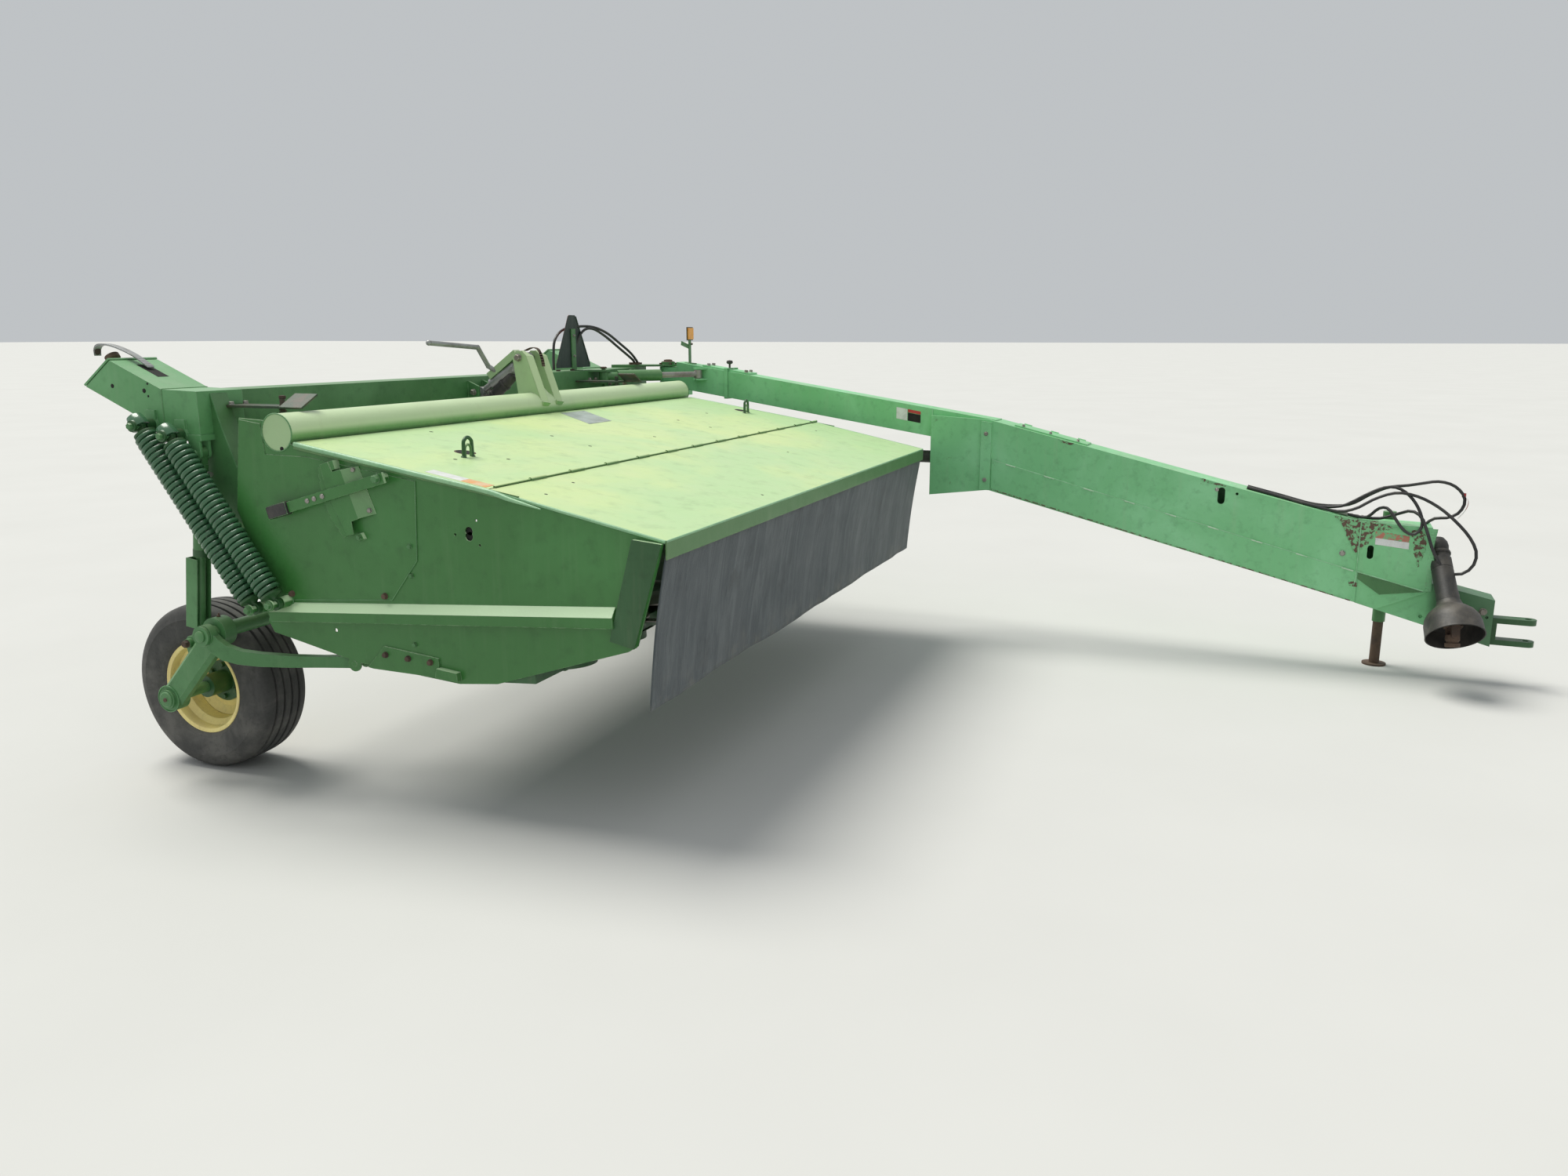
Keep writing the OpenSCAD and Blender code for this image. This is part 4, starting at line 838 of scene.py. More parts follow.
@dataclass
class Studio:
    """Camera, floor and soft light."""

    eye: Point = (-5509.5, -1838.8, 1907.9)
    yaw: float = 0.362858
    pitch: float = 0.212047
    lens: float = 27.0
    sky: float = 0.56
    sun: float = 3.0
    sun_way: Point = (-0.10, -0.42, -0.90)

    def camera(self) -> None:
        """Sets the camera at the photograph's viewing place."""
        data = bpy.data.cameras.new("view")
        data.lens = self.lens
        data.sensor_width = 36.0
        data.clip_end = 900.0
        obj = bpy.data.objects.new("view", data)
        bpy.context.collection.objects.link(obj)
        obj.location = at(*self.eye)
        way = Vector(
            (
                math.cos(self.yaw) * math.cos(self.pitch), math.sin(self.yaw) * math.cos(self.pitch),
                -math.sin(self.pitch)))
        obj.rotation_mode = "QUATERNION"
        obj.rotation_quaternion = way.to_track_quat("-Z", "Y")
        bpy.context.scene.camera = obj

    def floor(self) -> None:
        """Lays the pale floor."""
        g = Graph("pale_floor")
        g.link(g.blend(g.cloud(0.6, 4.0), (0.56, 0.56, 0.54), (0.62, 0.62, 0.60)), g.shader.inputs["Base Color"])
        g.shader.inputs["Roughness"].default_value = 0.9
        mesh = bpy.data.meshes.new("floor")
        size = 300.0
        mesh.from_pydata(
            [(-size, -size, 0), (size, -size, 0), (size, size, 0), (-size, size, 0)], [], [(0, 1, 2, 3)])
        mesh.materials.append(g.material)
        obj = bpy.data.objects.new("floor", mesh)
        bpy.context.collection.objects.link(obj)

    def light(self) -> None:
        """Sets the even sky and one wide, soft sun."""
        world = bpy.data.worlds.new("sky")
        bpy.context.scene.world = world
        world.use_nodes = True
        shade = world.node_tree.nodes["Background"]
        shade.inputs[0].default_value = (0.93, 0.97, 1.0, 1.0)
        shade.inputs[1].default_value = self.sky
        data = bpy.data.lights.new("sun", "SUN")
        data.energy = self.sun
        data.angle = math.radians(35.0)
        data.color = (1.0, 0.98, 0.92)
        obj = bpy.data.objects.new("sun", data)
        bpy.context.collection.objects.link(obj)
        obj.rotation_mode = "QUATERNION"
        obj.rotation_quaternion = Vector(self.sun_way).to_track_quat("-Z", "Y")
        view = bpy.context.scene.view_settings
        view.view_transform = "Standard"
        view.look = "None"
        view.exposure = 0.0

    def build(self) -> None:
        """Sets up the whole studio."""
        self.camera()
        self.floor()
        self.light()


@dataclass
class FloatSprings:
    """Four long coil springs that carry the header, two on each side."""

    x: float = 1899.0
    radius: float = 40.8
    wire: float = 10.9
    end: float = 40.0
    steps: int = 22

    def pairs(self, side: Side) -> list[tuple[Flat, Flat, int]]:
        """Gives the low end, the top end and the coils of a side's two springs."""
        if side is Side.RIGHT:
            return [((1840.0, 815.0), (2366.0, 1543.0), 33), ((1730.3, 842.5), (2210.0, 1506.5), 30)]
        return [((1840.0, 815.0), (2322.1, 1482.2), 30), ((1730.3, 842.5), (2180.8, 1465.9), 28)]

    def coil(self, shape: Shape, x: float, low_end: Flat, top_end: Flat, coils: int) -> None:
        """Adds one spring with its end plugs.

        Args:
            shape: The mesh that takes it.
            x: Its place across the machine.
            low_end: Distance back and height of its low pin.
            top_end: Distance back and height of its top pin.
            coils: How many turns it has.
        """
        low, top = at(x, *low_end), at(x, *top_end)
        place = looking(low, top - low, Vector((0.0, 1.0, 0.0)))
        length = (top - low).length * 1000.0
        run = length - 2 * self.end
        path = []
        count = coils * self.steps
        for i in range(count + 1):
            a = 2 * math.pi * i / self.steps
            taper = 1.0 - 0.22 * max(0.0, 1.0 - min(i, count - i) / self.steps) ** 2
            local = Vector(
                (
                    math.cos(a) * self.radius * taper, math.sin(a) * self.radius * taper,
                    self.end + 9 + (run - 18) * i / count))
            path.append(place @ (local / 1000.0))
        shape.sweep(path, self.wire / 1000.0, 8)
        core = self.radius - self.wire - 0.5
        for start, way in ((0.0, 1.0), (length, -1.0)):
            profile = [
                (0.0, 12.0), (15.0, 12.0), (20.0, 24.0), (29.0, 32.0), (44.0, 38.0), (44.0, 47.0), (core, 52.0),
                (core, 108.0), (0.0, 116.0)]
            turned = [(radius, start + way * z) for radius, z in profile]
            shape.lathe(turned if way > 0 else turned[::-1], place, 28, 1)
        nose = looking(place @ Vector((0.0, 0.0, (length - 8.0) / 1000.0)), top - low)
        shape.lathe([(0.0, 0.0), (40.0, 0.0), (40.0, 12.0), (31.0, 52.0), (24.0, 56.0), (0.0, 56.0)], nose, 28, 0)
        for z in (0.0, length):
            eye = looking(place @ Vector((0.0, 0.0, z / 1000.0)) - Vector((0.009, 0, 0)), Vector((1.0, 0.0, 0.0)))
            shape.lathe([(13.6, 0.0), (25.5, 0.0), (25.5, 18.0), (13.6, 18.0)], eye, 24, 1, closed=True)

    def build(self) -> None:
        """Makes the pair on each side."""
        for side in Side:
            shape = Shape()
            for low, top, coils in self.pairs(side):
                self.coil(shape, side.value * self.x, low, top, coils)
            for _low, top, _coils in self.pairs(side):
                for out, radius, depth in ((1832.0, 25.2, 49.0), (1930.0, 23.4, 11.5)):
                    pin = looking(at(side.value * out, *top), Vector((float(side.value), 0.0, 0.0)))
                    shape.lathe([(0.0, 0.0), (radius, 0.0), (radius, depth), (0.0, depth + 1.0)], pin, 24, 1)
            obj = shape.build(f"springs_{side.name.lower()}", [SPRING_GREEN, DARK_GREEN], "frame", 50.0)
            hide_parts(f"float_springs_{side.name.lower()}")


@dataclass
class Wheel:
    """Ribbed implement tyre on a dished rim."""

    side: Side
    radius: float = 375.0
    half: float = 139.0
    rim: float = 208.5
    x: float = 1617.0
    axle: Flat = (2360.0, 375.0)
    grooves: tuple[float, ...] = (-66.0, -22.0, 22.0, 66.0)

    def place(self) -> Matrix:
        """Gives the frame at the wheel's middle, its Z pointing to the machine's outside."""
        outward = Vector((float(self.side.value), 0.0, 0.0))
        return looking(at(self.side.value * self.x, *self.axle), outward)

    def crown(self, x: float) -> float:
        """Gives the tread's radius at a place across it."""
        return self.radius - 4.0 * (x / 92.0) ** 2

    def tyre(self) -> bpy.types.Object:
        """Makes the tyre with its grooves and side rings."""
        flank = [
            (196.5, 104.0), (204.0, 111.0), (212.0, 117.0), (219.0, 124.0), (226.0, 129.0), (229.0, 129.5),
            (232.0, 132.0), (252.0, 136.5), (285.0, 139.0), (309.0, 138.0), (312.0, 139.0), (316.0, 137.2),
            (330.0, 134.0), (346.0, 127.0), (357.0, 119.0), (364.0, 110.0), (369.0, 98.0)]
        tread: list[Flat] = []
        for groove in sorted(self.grooves, reverse=True):
            for off, drop in (
                (8.0, 0.0), (6.2, 1.4), (4.6, 10.0), (2.5, 11.5), (-2.5, 11.5), (-4.6, 10.0), (-6.2, 1.4),
                (-8.0, 0.0)):
                tread.append((self.crown(groove + off) - drop, groove + off))
        whole = flank + tread + [(r, -z) for r, z in reversed(flank)]
        whole += [(197.0, -60.0), (197.0, 60.0)]
        shape = Shape()
        shape.lathe(whole, self.place(), 128, closed=True)
        name = self.side.name.lower()
        obj = shape.build(f"ribbed_tyre_{name}", [TYRE_RUBBER], f"wheel_{name}", 28.0)
        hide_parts(f"tyre_{name}")
        return obj

    def wheel_rim(self) -> bpy.types.Object:
        """Makes the drop-centre rim, its disc and its nuts."""
        r = self.rim
        barrel = [
            (r - 13.5, 108.0), (r - 1, 110.5), (r + 2, 113.5), (r, 117.5), (r - 4, 118.0), (r - 17, 114.0),
            (r - 19, 109.0), (r - 21, 74.0), (r - 46, 54.0), (r - 47, -34.0), (r - 22, -60.0), (r - 19, -111.0),
            (r - 4, -117.0), (r, -117.0), (r + 1.5, -114.0), (r - 1, -110.5), (r - 13.5, -108.0), (r - 16, -58.0),
            (r - 41, -31.0), (r - 41, 51.0), (r - 16, 71.0)]
        disc = [
            (r - 46, -8.0), (r - 60, -16.0), (r - 74, -24.0), (126.0, -30.0), (112.0, -27.0), (98.0, -26.0),
            (50.5, -26.0), (50.5, -20.0), (98.0, -20.0), (112.0, -20.5), (126.0, -24.0), (r - 72, -18.0),
            (r - 58, -9.0), (r - 46, -1.0)]
        shape = Shape()
        shape.lathe(barrel[::-1], self.place(), 112, closed=True)
        shape.lathe(disc[::-1], self.place(), 96, closed=True)
        stem = self.place() @ Matrix.Translation((0.150, 0.0, 0.046))
        shape.lathe([(0.0, 0.0), (5.0, 0.0), (5.0, 6.0), (3.5, 8.0), (3.5, 30.0), (0.0, 31.0)], stem, 12, 1)
        for k in range(6):
            a = math.pi * k / 3
            hub = self.place() @ Vector((0.074 * math.cos(a), 0.074 * math.sin(a), -0.026))
            shape.bolt(hub, self.place().to_3x3() @ Vector((0.0, 0.0, -1.0)), 22.0, 2)
        name = self.side.name.lower()
        obj = shape.build(f"dished_rim_{name}", [YELLOW, BLACK_PLASTIC, RUSTY], f"wheel_{name}", 30.0)
        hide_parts(f"rim_{name}")
        return obj

    def build(self) -> None:
        """Makes the tyre and the rim."""
        self.tyre()
        self.wheel_rim()


@dataclass
class Curtain:
    """Hanging canvas below the hood's lip."""

    half: float = 1821.0
    top: Flat = (7.5, 1160.0)
    low: Flat = (90.0, 553.0)
    columns: int = 300
    rows: int = 26

    def surface(self, u: float, v: float) -> Vector:
        """Gives a place on the cloth.

        Args:
            u: 0 to 1 across it from the right end.
            v: 0 to 1 down it.

        Returns:
            The place in the row frame.
        """
        x = -self.half + 2 * self.half * u
        sag = noise.noise(
            Vector((x / 620.0, v * 1.2, 3.0))
        ) * 15.0 * v + noise.noise(Vector((x / 210.0, v * 1.7, 9.0))) * 7.0 * v**0.7
        ripple = 2.2 * math.sin(x / 46.0 + 2.0 * math.sin(x / 300.0)) * v * (1.0 - 0.4 * v)
        bow = 13.0 * math.sin(math.pi * v)
        y = self.top[0] + (self.low[0] - self.top[0]) * v + sag + ripple + bow * 0.6 + 1.5
        z = self.top[1] + (self.low[1] - self.top[1]) * v + noise.noise(Vector((x / 380.0, 0.0, 21.0))) * 9.0 * v**6
        y = max(y, self.top[0] + 1.0)
        return at(x, y, z)

    def build(self) -> None:
        """Makes the cloth."""
        shape = Shape()
        verts = [
            self.surface(i / self.columns, j / self.rows) for j in range(self.rows + 1)
            for i in range(self.columns + 1)]
        wide = self.columns + 1
        faces = [
            (j * wide + i, j * wide + i + 1, (j + 1) * wide + i + 1, (j + 1) * wide + i) for j in range(self.rows)
            for i in range(self.columns)]
        shape.add(verts, faces)
        obj = shape.build("hanging_curtain", [CANVAS], "hood", 60.0)
        thick = obj.modifiers.new("thickness", "SOLIDIFY")
        thick.thickness = 0.004
        thick.offset = 0.0
        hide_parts("curtain_front")
        down = path_length([self.surface(0.5, j / 40) for j in range(41)])


@dataclass
class WarningTriangle:
    """Slow vehicle triangle on its post: orange behind, dark towards the front."""

    x: float = 1280.0
    y: float = 2206.0
    z: float = 1684.0

    def build(self) -> None:
        """Makes the plate, its border and its post."""
        shape = Shape()
        place = looking(at(self.x, self.y, self.z), Vector((0.0, -1.0, 0.0)))
        outline = [
            (-205.0, 16.0), (205.0, 16.0), (205.0, 40.0), (46.0, 340.0), (36.0, 348.0), (-36.0, 348.0),
            (-46.0, 340.0), (-205.0, 40.0)]
        shape.prism(outline, 3.0, place, 0)
        back = place @ Matrix.Translation((0.0, 0.0, -0.0012))
        shape.prism(outline, 1.2, back, 2)
        inner = [(-150.0, 50.0), (150.0, 50.0), (24.0, 290.0), (-24.0, 290.0)]
        shape.prism(inner, 0.8, place @ Matrix.Translation((0.0, 0.0, -0.0018)), 1)
        for a, b in (
            (outline[0], outline[7]), (outline[1], outline[2]), (outline[7], outline[6]), (outline[2], outline[3])):
            ends = [place @ Vector((p[0] / 1000.0, p[1] / 1000.0, 0.004)) for p in (a, b)]
            shape.sweep(ends, 0.004, 6, 0)
        shape.prism(
            [(-25.0, 0.0), (25.0, 0.0), (25.0, 262.0), (-25.0, 262.0)], 7.0,
            place @ Matrix.Translation((0.0, 0.0, 0.004)), 3)
        shape.prism(
            [(-25.0, 0.0), (25.0, 0.0), (25.0, 40.0), (-25.0, 40.0)], 60.0,
            place @ Matrix.Translation((0.0, -0.038, 0.0)), 3)
        for z in (90.0, 220.0):
            shape.bolt(place @ Vector((0.0, z / 1000.0, 0.011)), Vector((0.0, -1.0, 0.0)), 13.0, 4)
        obj = shape.build("slow_triangle", [SIGN_BACK, SIGN_ORANGE, SIGN_RED, GREEN, STEEL], "frame", 30.0)
        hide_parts("slow_vehicle_sign")


@dataclass
class EndPanelFittings:
    """Bolts, weld beads, dark front post and lever grip of one end panel."""

    side: Side
    bolts: tuple[tuple[float, float, float, float], ...] = (
        (1833.0, 1706.0, 874.0, 20.0), (1833.0, 1240.0, 900.0, 20.0), (1833.0, 1105.0, 1107.0, 15.0),
        (1830.0, 1109.0, 990.0, 15.0), (1838.0, 1254.0, 660.0, 19.0), (1838.0, 1145.0, 655.0, 19.0),
        (1838.0, 1040.0, 650.0, 19.0), (1830.0, 1114.0, 713.0, 15.0),)
    post: tuple[Flat, ...] = ((127.5, 1197.0), (10.5, 1186.5), (128.8, 793.5), (229.5, 814.2))
    cover: tuple[Flat, ...] = ((1062.0, 1362.0), (1077.0, 1052.0), (1208.0, 886.0), (1807.0, 840.0))
    grip: tuple[Flat, Flat] = ((1747.0, 1209.2), (1646.0, 1237.6))

    def spot(self, out: float, y: float, z: float) -> Vector:
        """Gives a place on this side from its distance outwards."""
        return at(self.side.value * out, y, z)

    def lever(self, shape: Shape, away: Vector) -> None:
        """Adds the rubber grip, the lever's round bolts and the dial's dark holes.

        Args:
            shape: The mesh that the pieces are added to.
            away: The way out of the panel.
        """
        (y0, z0), (y1, z1) = self.grip
        run = Vector((y1 - y0, z1 - z0)).normalized()
        cross = Vector((-run.y, run.x)) * 27.0
        middle = [(y0, z0), (y1, z1)]
        outline = [
            (middle[0][0] + cross.x, middle[0][1] + cross.y), (middle[1][0] + cross.x, middle[1][1] + cross.y),
            (middle[1][0] - cross.x, middle[1][1] - cross.y), (middle[0][0] - cross.x, middle[0][1] - cross.y)]
        rubber = Shape()
        rubber.side_plate(self.side, outline, 1858.5, 33.0, 0)
        rubber.build("lever_grip", [HOSE_RUBBER], "frame", 40.0, bevel=7.0)
        for y, z in ((1545.0, 1269.0), (1510.0, 1279.0), (1469.0, 1291.0)):
            shape.disc(self.spot(1880.0, y, z), away, 10.0, 4.0, 2)
            shape.disc(self.spot(1884.0, y, z), away, 6.0, 2.5, 2)
        shape.bolt(self.spot(1881.0, 1202.0, 1371.0), away, 27.0, 0)
        for y, z in ((1341.0, 1396.0), (1277.0, 1240.0)):
            shape.bolt(self.spot(1842.5, y, z), Vector((-0.94, -0.34, 0.0)), 15.0, 2)
        shape.bolt(self.spot(1850.0, 1331.0, 1132.0), away, 15.0, 0)

    def build(self) -> None:
        """Makes the fittings."""
        away = Vector((float(self.side.value), 0.0, 0.0))
        shape = Shape()
        for out, y, z, across in self.bolts:
            shape.bolt(self.spot(out, y, z), away, across, 5 if across > 18.0 else 0)
        shape.side_plate(self.side, list(self.post), 1853.5, 1.6, 1)
        shape.weld([self.spot(1833.0, y, z) for y, z in self.cover], 0.0022, 4)
        shape.weld([self.spot(1831.0, 1806.0 - 1597.0 * t, 750.0 + 110.0 * t) for t in (0.02, 0.98)], 0.003, 4)
        for low in ((1840.0, 815.0), (1730.3, 842.5)):
            ring = [
                self.spot(1833.5, low[0] + 26.0 * math.cos(a), low[1] + 26.0 * math.sin(a))
                for a in (math.pi * k / 8 for k in range(17))]
            shape.weld(ring, 0.0035, 4)
            shape.bolt(self.spot(1939.0, *low), away, 24.0, 0)
        for y, z in ((832.0, 1182.0), (832.0, 1162.0)):
            shape.disc(self.spot(1822.0, y, z), away, 17.5, 0.6, 3)
        rim = [
            self.spot(1831.0, 1716.0 + 75.0 * math.cos(a), 1528.0 + 75.0 * math.sin(a))
            for a in (math.pi * k / 18 for k in range(37))]
        shape.weld(rim, 0.0028, 4)
        shape.disc(self.spot(1830.0, 1697.0, 1463.5), away, 9.0, 1.0, 3)
        if self.side is Side.RIGHT:
            self.lever(shape, away)
        shape.build(
            f"panel_fittings_{self.side.name.lower()}", [GREEN, DARK_GREEN, STEEL, SHADOW, WELD_GREEN, RUSTY],
            "frame", 35.0)


@dataclass
class HoodFittings:
    """Marks of use on the hood: grommets, holes, blank plates, folded side edges."""

    slope: float = 0.16129
    sheet_y: float = 733.0
    sheet_z: float = 1348.0
    lid_z: float = 1196.0
    lid_rise: float = 151.0
    lid_run: float = 727.0
    lid_holes: tuple[Flat, ...] = (
        (-1681.0, 581.0), (-1402.0, 628.0), (-700.0, 90.0), (500.0, 420.0), (1480.0, 600.0))
    holes: tuple[Flat, ...] = (
        (-605.0, 1007.0), (-564.0, 1240.0), (-1271.0, 1017.0), (-1493.0, 1122.0), (17.0, 982.0), (727.0, 1189.0),
        (712.0, 977.0), (-1080.0, 1548.0), (1240.0, 1240.0))
    loops: tuple[Flat, ...] = ((-1394.0, 1130.0), (1618.0, 1130.0))

    def on_sheet(self, x: float, y: float, lift: float = 0.0) -> Vector:
        """Gives a place on the rear sheet's top."""
        return at(x, y, self.sheet_z + (y - self.sheet_y) * self.slope + lift)

    def on_lid(self, x: float, y: float, lift: float) -> Vector:
        """Gives a place on the hinged front sheet's top."""
        return at(x, y, self.lid_z + y * self.lid_rise / self.lid_run + lift)

    def flat_piece(self, shape: Shape, corners: list[Flat], thick: float, tone: int, lift: float = 0.0) -> None:
        """Adds a thin plate that lies on the rear sheet."""
        up = Vector((0.0, -self.slope, 1.0)).normalized() * (thick / 1000.0)
        shape.slab([self.on_sheet(x, y, lift) for x, y in corners], up, tone)

    def build(self) -> None:
        """Makes the pieces on the rear sheet and the front sheet."""
        shape = Shape()
        up = Vector((0.0, -self.slope, 1.0)).normalized()
        for x, y in self.holes:
            shape.disc(self.on_sheet(x, y, -0.2), up, 9.0, 0.5, 1)
        for x, y in self.loops:
            shape.disc(self.on_sheet(x + 66.0, y + 62.0, -0.2), up, 46.0, 0.7, 3)
            shape.disc(self.on_sheet(x + 66.0, y + 62.0, 0.3), up, 39.0, 0.6, 1)
            arch = [
                self.on_sheet(x - 30.0 * math.cos(a), y, -2.0 if k in (0, 8) else 46.0 + 34.0 * math.sin(a))
                for k, a in enumerate(math.pi * k / 8 for k in range(9))]
            shape.sweep(curve_points(arch, 34), 0.0078, 12, 6)
            for s in (-30.0, 30.0):
                shape.lathe(
                    [(6.0, 0.0), (13.0, 0.0), (10.5, 3.5), (7.0, 6.0)], looking(self.on_sheet(x + s, y, 0.0), up),
                    20, 6, closed=True)
        self.flat_piece(shape, [(-23.0, 1344.0), (219.0, 1346.0), (365.0, 1601.0), (125.0, 1608.0)], 1.2, 2)
        for x, y in ((5.0, 1352.0), (200.0, 1354.0), (340.0, 1592.0), (135.0, 1598.0)):
            shape.disc(self.on_sheet(x, y, 1.2), up, 5.0, 1.2, 2)
        self.flat_piece(shape, [(-1806.0, 1034.0), (-1744.0, 1040.0), (-1753.0, 872.0), (-1815.0, 868.0)], 0.6, 4)
        self.flat_piece(shape, [(-1815.0, 868.0), (-1753.0, 872.0), (-1760.0, 756.0), (-1822.0, 752.0)], 0.6, 5)
        for side in Side:
            edge = [
                self.on_sheet(side.value * x, y, -8.0)
                for x, y in ((1832.0, 1630.0), (1838.0, 1400.0), (1841.0, 1100.0), (1841.0, 742.0))]
            edge += [
                self.on_lid(side.value * x, y, -12.0)
                for x, y in ((1847.0, 640.0), (1852.0, 560.0), (1856.0, 496.0))]
            line = curve_points(edge, 44)
            # The folded side edges take the lighter flange green, a painted highlight.
            shape.sweep(
                line, [0.0100 * min(1.0, 0.25 + (len(line) - 1 - i) / 9.0) for i in range(len(line))], 12, 7)
        shape.build(
            "hood_fittings",
            [FADED_SHADED_SIDES, SHADOW, BLANK_PLATE, RUSTY, STICKER_WHITE, STICKER_ORANGE, DARK_GREEN, FLANGE_HIGHLIGHT_GREEN], "frame",
            35.0)
        lid = Shape()
        # The lid's side edges and front nose take the lighter flange green, a painted highlight.
        for side in Side:
            edge = [self.on_lid(side.value * 1834.0, y, -4.5) for y in (4.0, 240.0, 480.0, 720.0)]
            lid.sweep(curve_points(edge, 30), 0.0062, 10, 0)
        nose = [at(x, 2.5, 1193.5) for x in (-1832.0, -600.0, 600.0, 1832.0)]
        lid.sweep(nose, 0.0042, 10, 0)
        lid_up = Vector((0.0, -self.lid_rise / self.lid_run, 1.0)).normalized()
        for x, y in self.lid_holes:
            lid.disc(self.on_lid(x, y, -0.2), lid_up, 7.0, 0.5, 1)
        lid.build("front_sheet_edges", [FLANGE_HIGHLIGHT_GREEN, SHADOW], "hood", 35.0)


@dataclass
class TiltBracket:
    """Folded edges, pins, strap and dark damper of the header's tilt bracket."""

    x: float = 80.0
    half: float = 62.0
    plate: float = 12.0
    fold: float = 30.0

    def flange(self, shape: Shape, x: float) -> None:
        """Adds the slanting front flange of one upright plate.

        Args:
            shape: The mesh that the pieces are added to.
            x: The plate's place across the machine, in mm.
        """
        line = [(1648.0, 1552.0), (1690.0, 1672.0), (1735.0, 1799.0), (1763.0, 1825.0)]
        near = [at(x, y, z) for y, z in line]
        far = [at(x + self.fold, y - self.fold * 0.9, z - 3.0) for y, z in line]
        far[-1] = at(x + self.fold * 0.35, line[-1][0] - self.fold * 0.3, line[-1][1] + 1.0)
        for i in range(3):
            shape.slab([near[i], far[i], far[i + 1], near[i + 1]], Vector((0.005, 0.005, 0.0)), 0)

    def build(self) -> None:
        """Makes the bracket's pieces."""
        shape = Shape()
        for x in (self.x - self.half - self.plate, self.x + self.half):
            self.flange(shape, x)
            shape.slab(
                [
                    at(x - 6.0, 1632.0, 1556.0), at(x + 42.0, 1618.0, 1548.0), at(x + 42.0, 1634.0, 1530.0),
                    at(x - 6.0, 1638.0, 1536.0)],
                Vector((0.0, 0.008, 0.004)), 0)
            for run in (
                [(x - 1.0, 1652.0, 1566.0), (x - 1.0, 1786.0, 1552.0)],
                [(x + 13.0, 1652.0, 1566.0), (x + 13.0, 1786.0, 1552.0)]):
                shape.weld([at(*p) for p in run], 0.004, 4)
        shape.slab(
            [at(18.0, 1652.0, 1560.0), at(142.0, 1652.0, 1560.0), at(80.0, 1690.0, 1640.0)],
            Vector((0.0, 0.006, 0.0)), 0)
        for x, way in ((0.0, -1.0), (160.0, 1.0)):
            shape.bolt(at(x, 1780.0, 1788.0), Vector((way, 0.0, 0.0)), 30.0, 2)
            shape.bolt(at(x, 2076.0, 1600.0), Vector((way, 0.0, 0.0)), 26.0, 2)
        bar = [
            at(50.0, 2000.0, 1668.0), at(50.0, 2022.0, 1700.0), at(50.0, 1842.0, 1828.0), at(50.0, 1822.0, 1796.0)]
        shape.slab(bar, Vector((0.056, 0.0, 0.0)), 0)
        damper = looking(at(self.x, 2046.0, 1540.0), at(self.x, 1862.0, 1697.0) - at(self.x, 2046.0, 1540.0))
        shape.lathe(
            [
                (0.0, 0.0), (24.0, 0.0), (31.0, 8.0), (31.0, 60.0), (36.0, 62.0), (36.0, 74.0), (31.0, 76.0),
                (31.0, 150.0), (36.0, 152.0), (36.0, 164.0), (31.0, 166.0), (29.0, 225.0), (20.0, 238.0),
                (0.0, 240.0)],
            damper, 32, 1)
        strap = curve_points(
            [
                at(92.0, 1800.0, 1822.0), at(90.0, 1752.0, 1838.0), at(84.0, 1712.0, 1826.0),
                at(80.0, 1690.0, 1780.0), at(78.0, 1682.0, 1740.0)],
            14)
        for a, b in zip(strap, strap[1:]):
            shape.slab(
                [a, b, b + Vector((0.030, 0.0, 0.0)), a + Vector((0.030, 0.0, 0.0))], Vector((0.0, 0.002, 0.004)), 3
            )
        shape.build("tilt_bracket_fittings", [TOP_LIT_FADED_TUBE, BLACK_PLASTIC, STEEL, RUSTY, WELD_GREEN], "frame", 35.0)


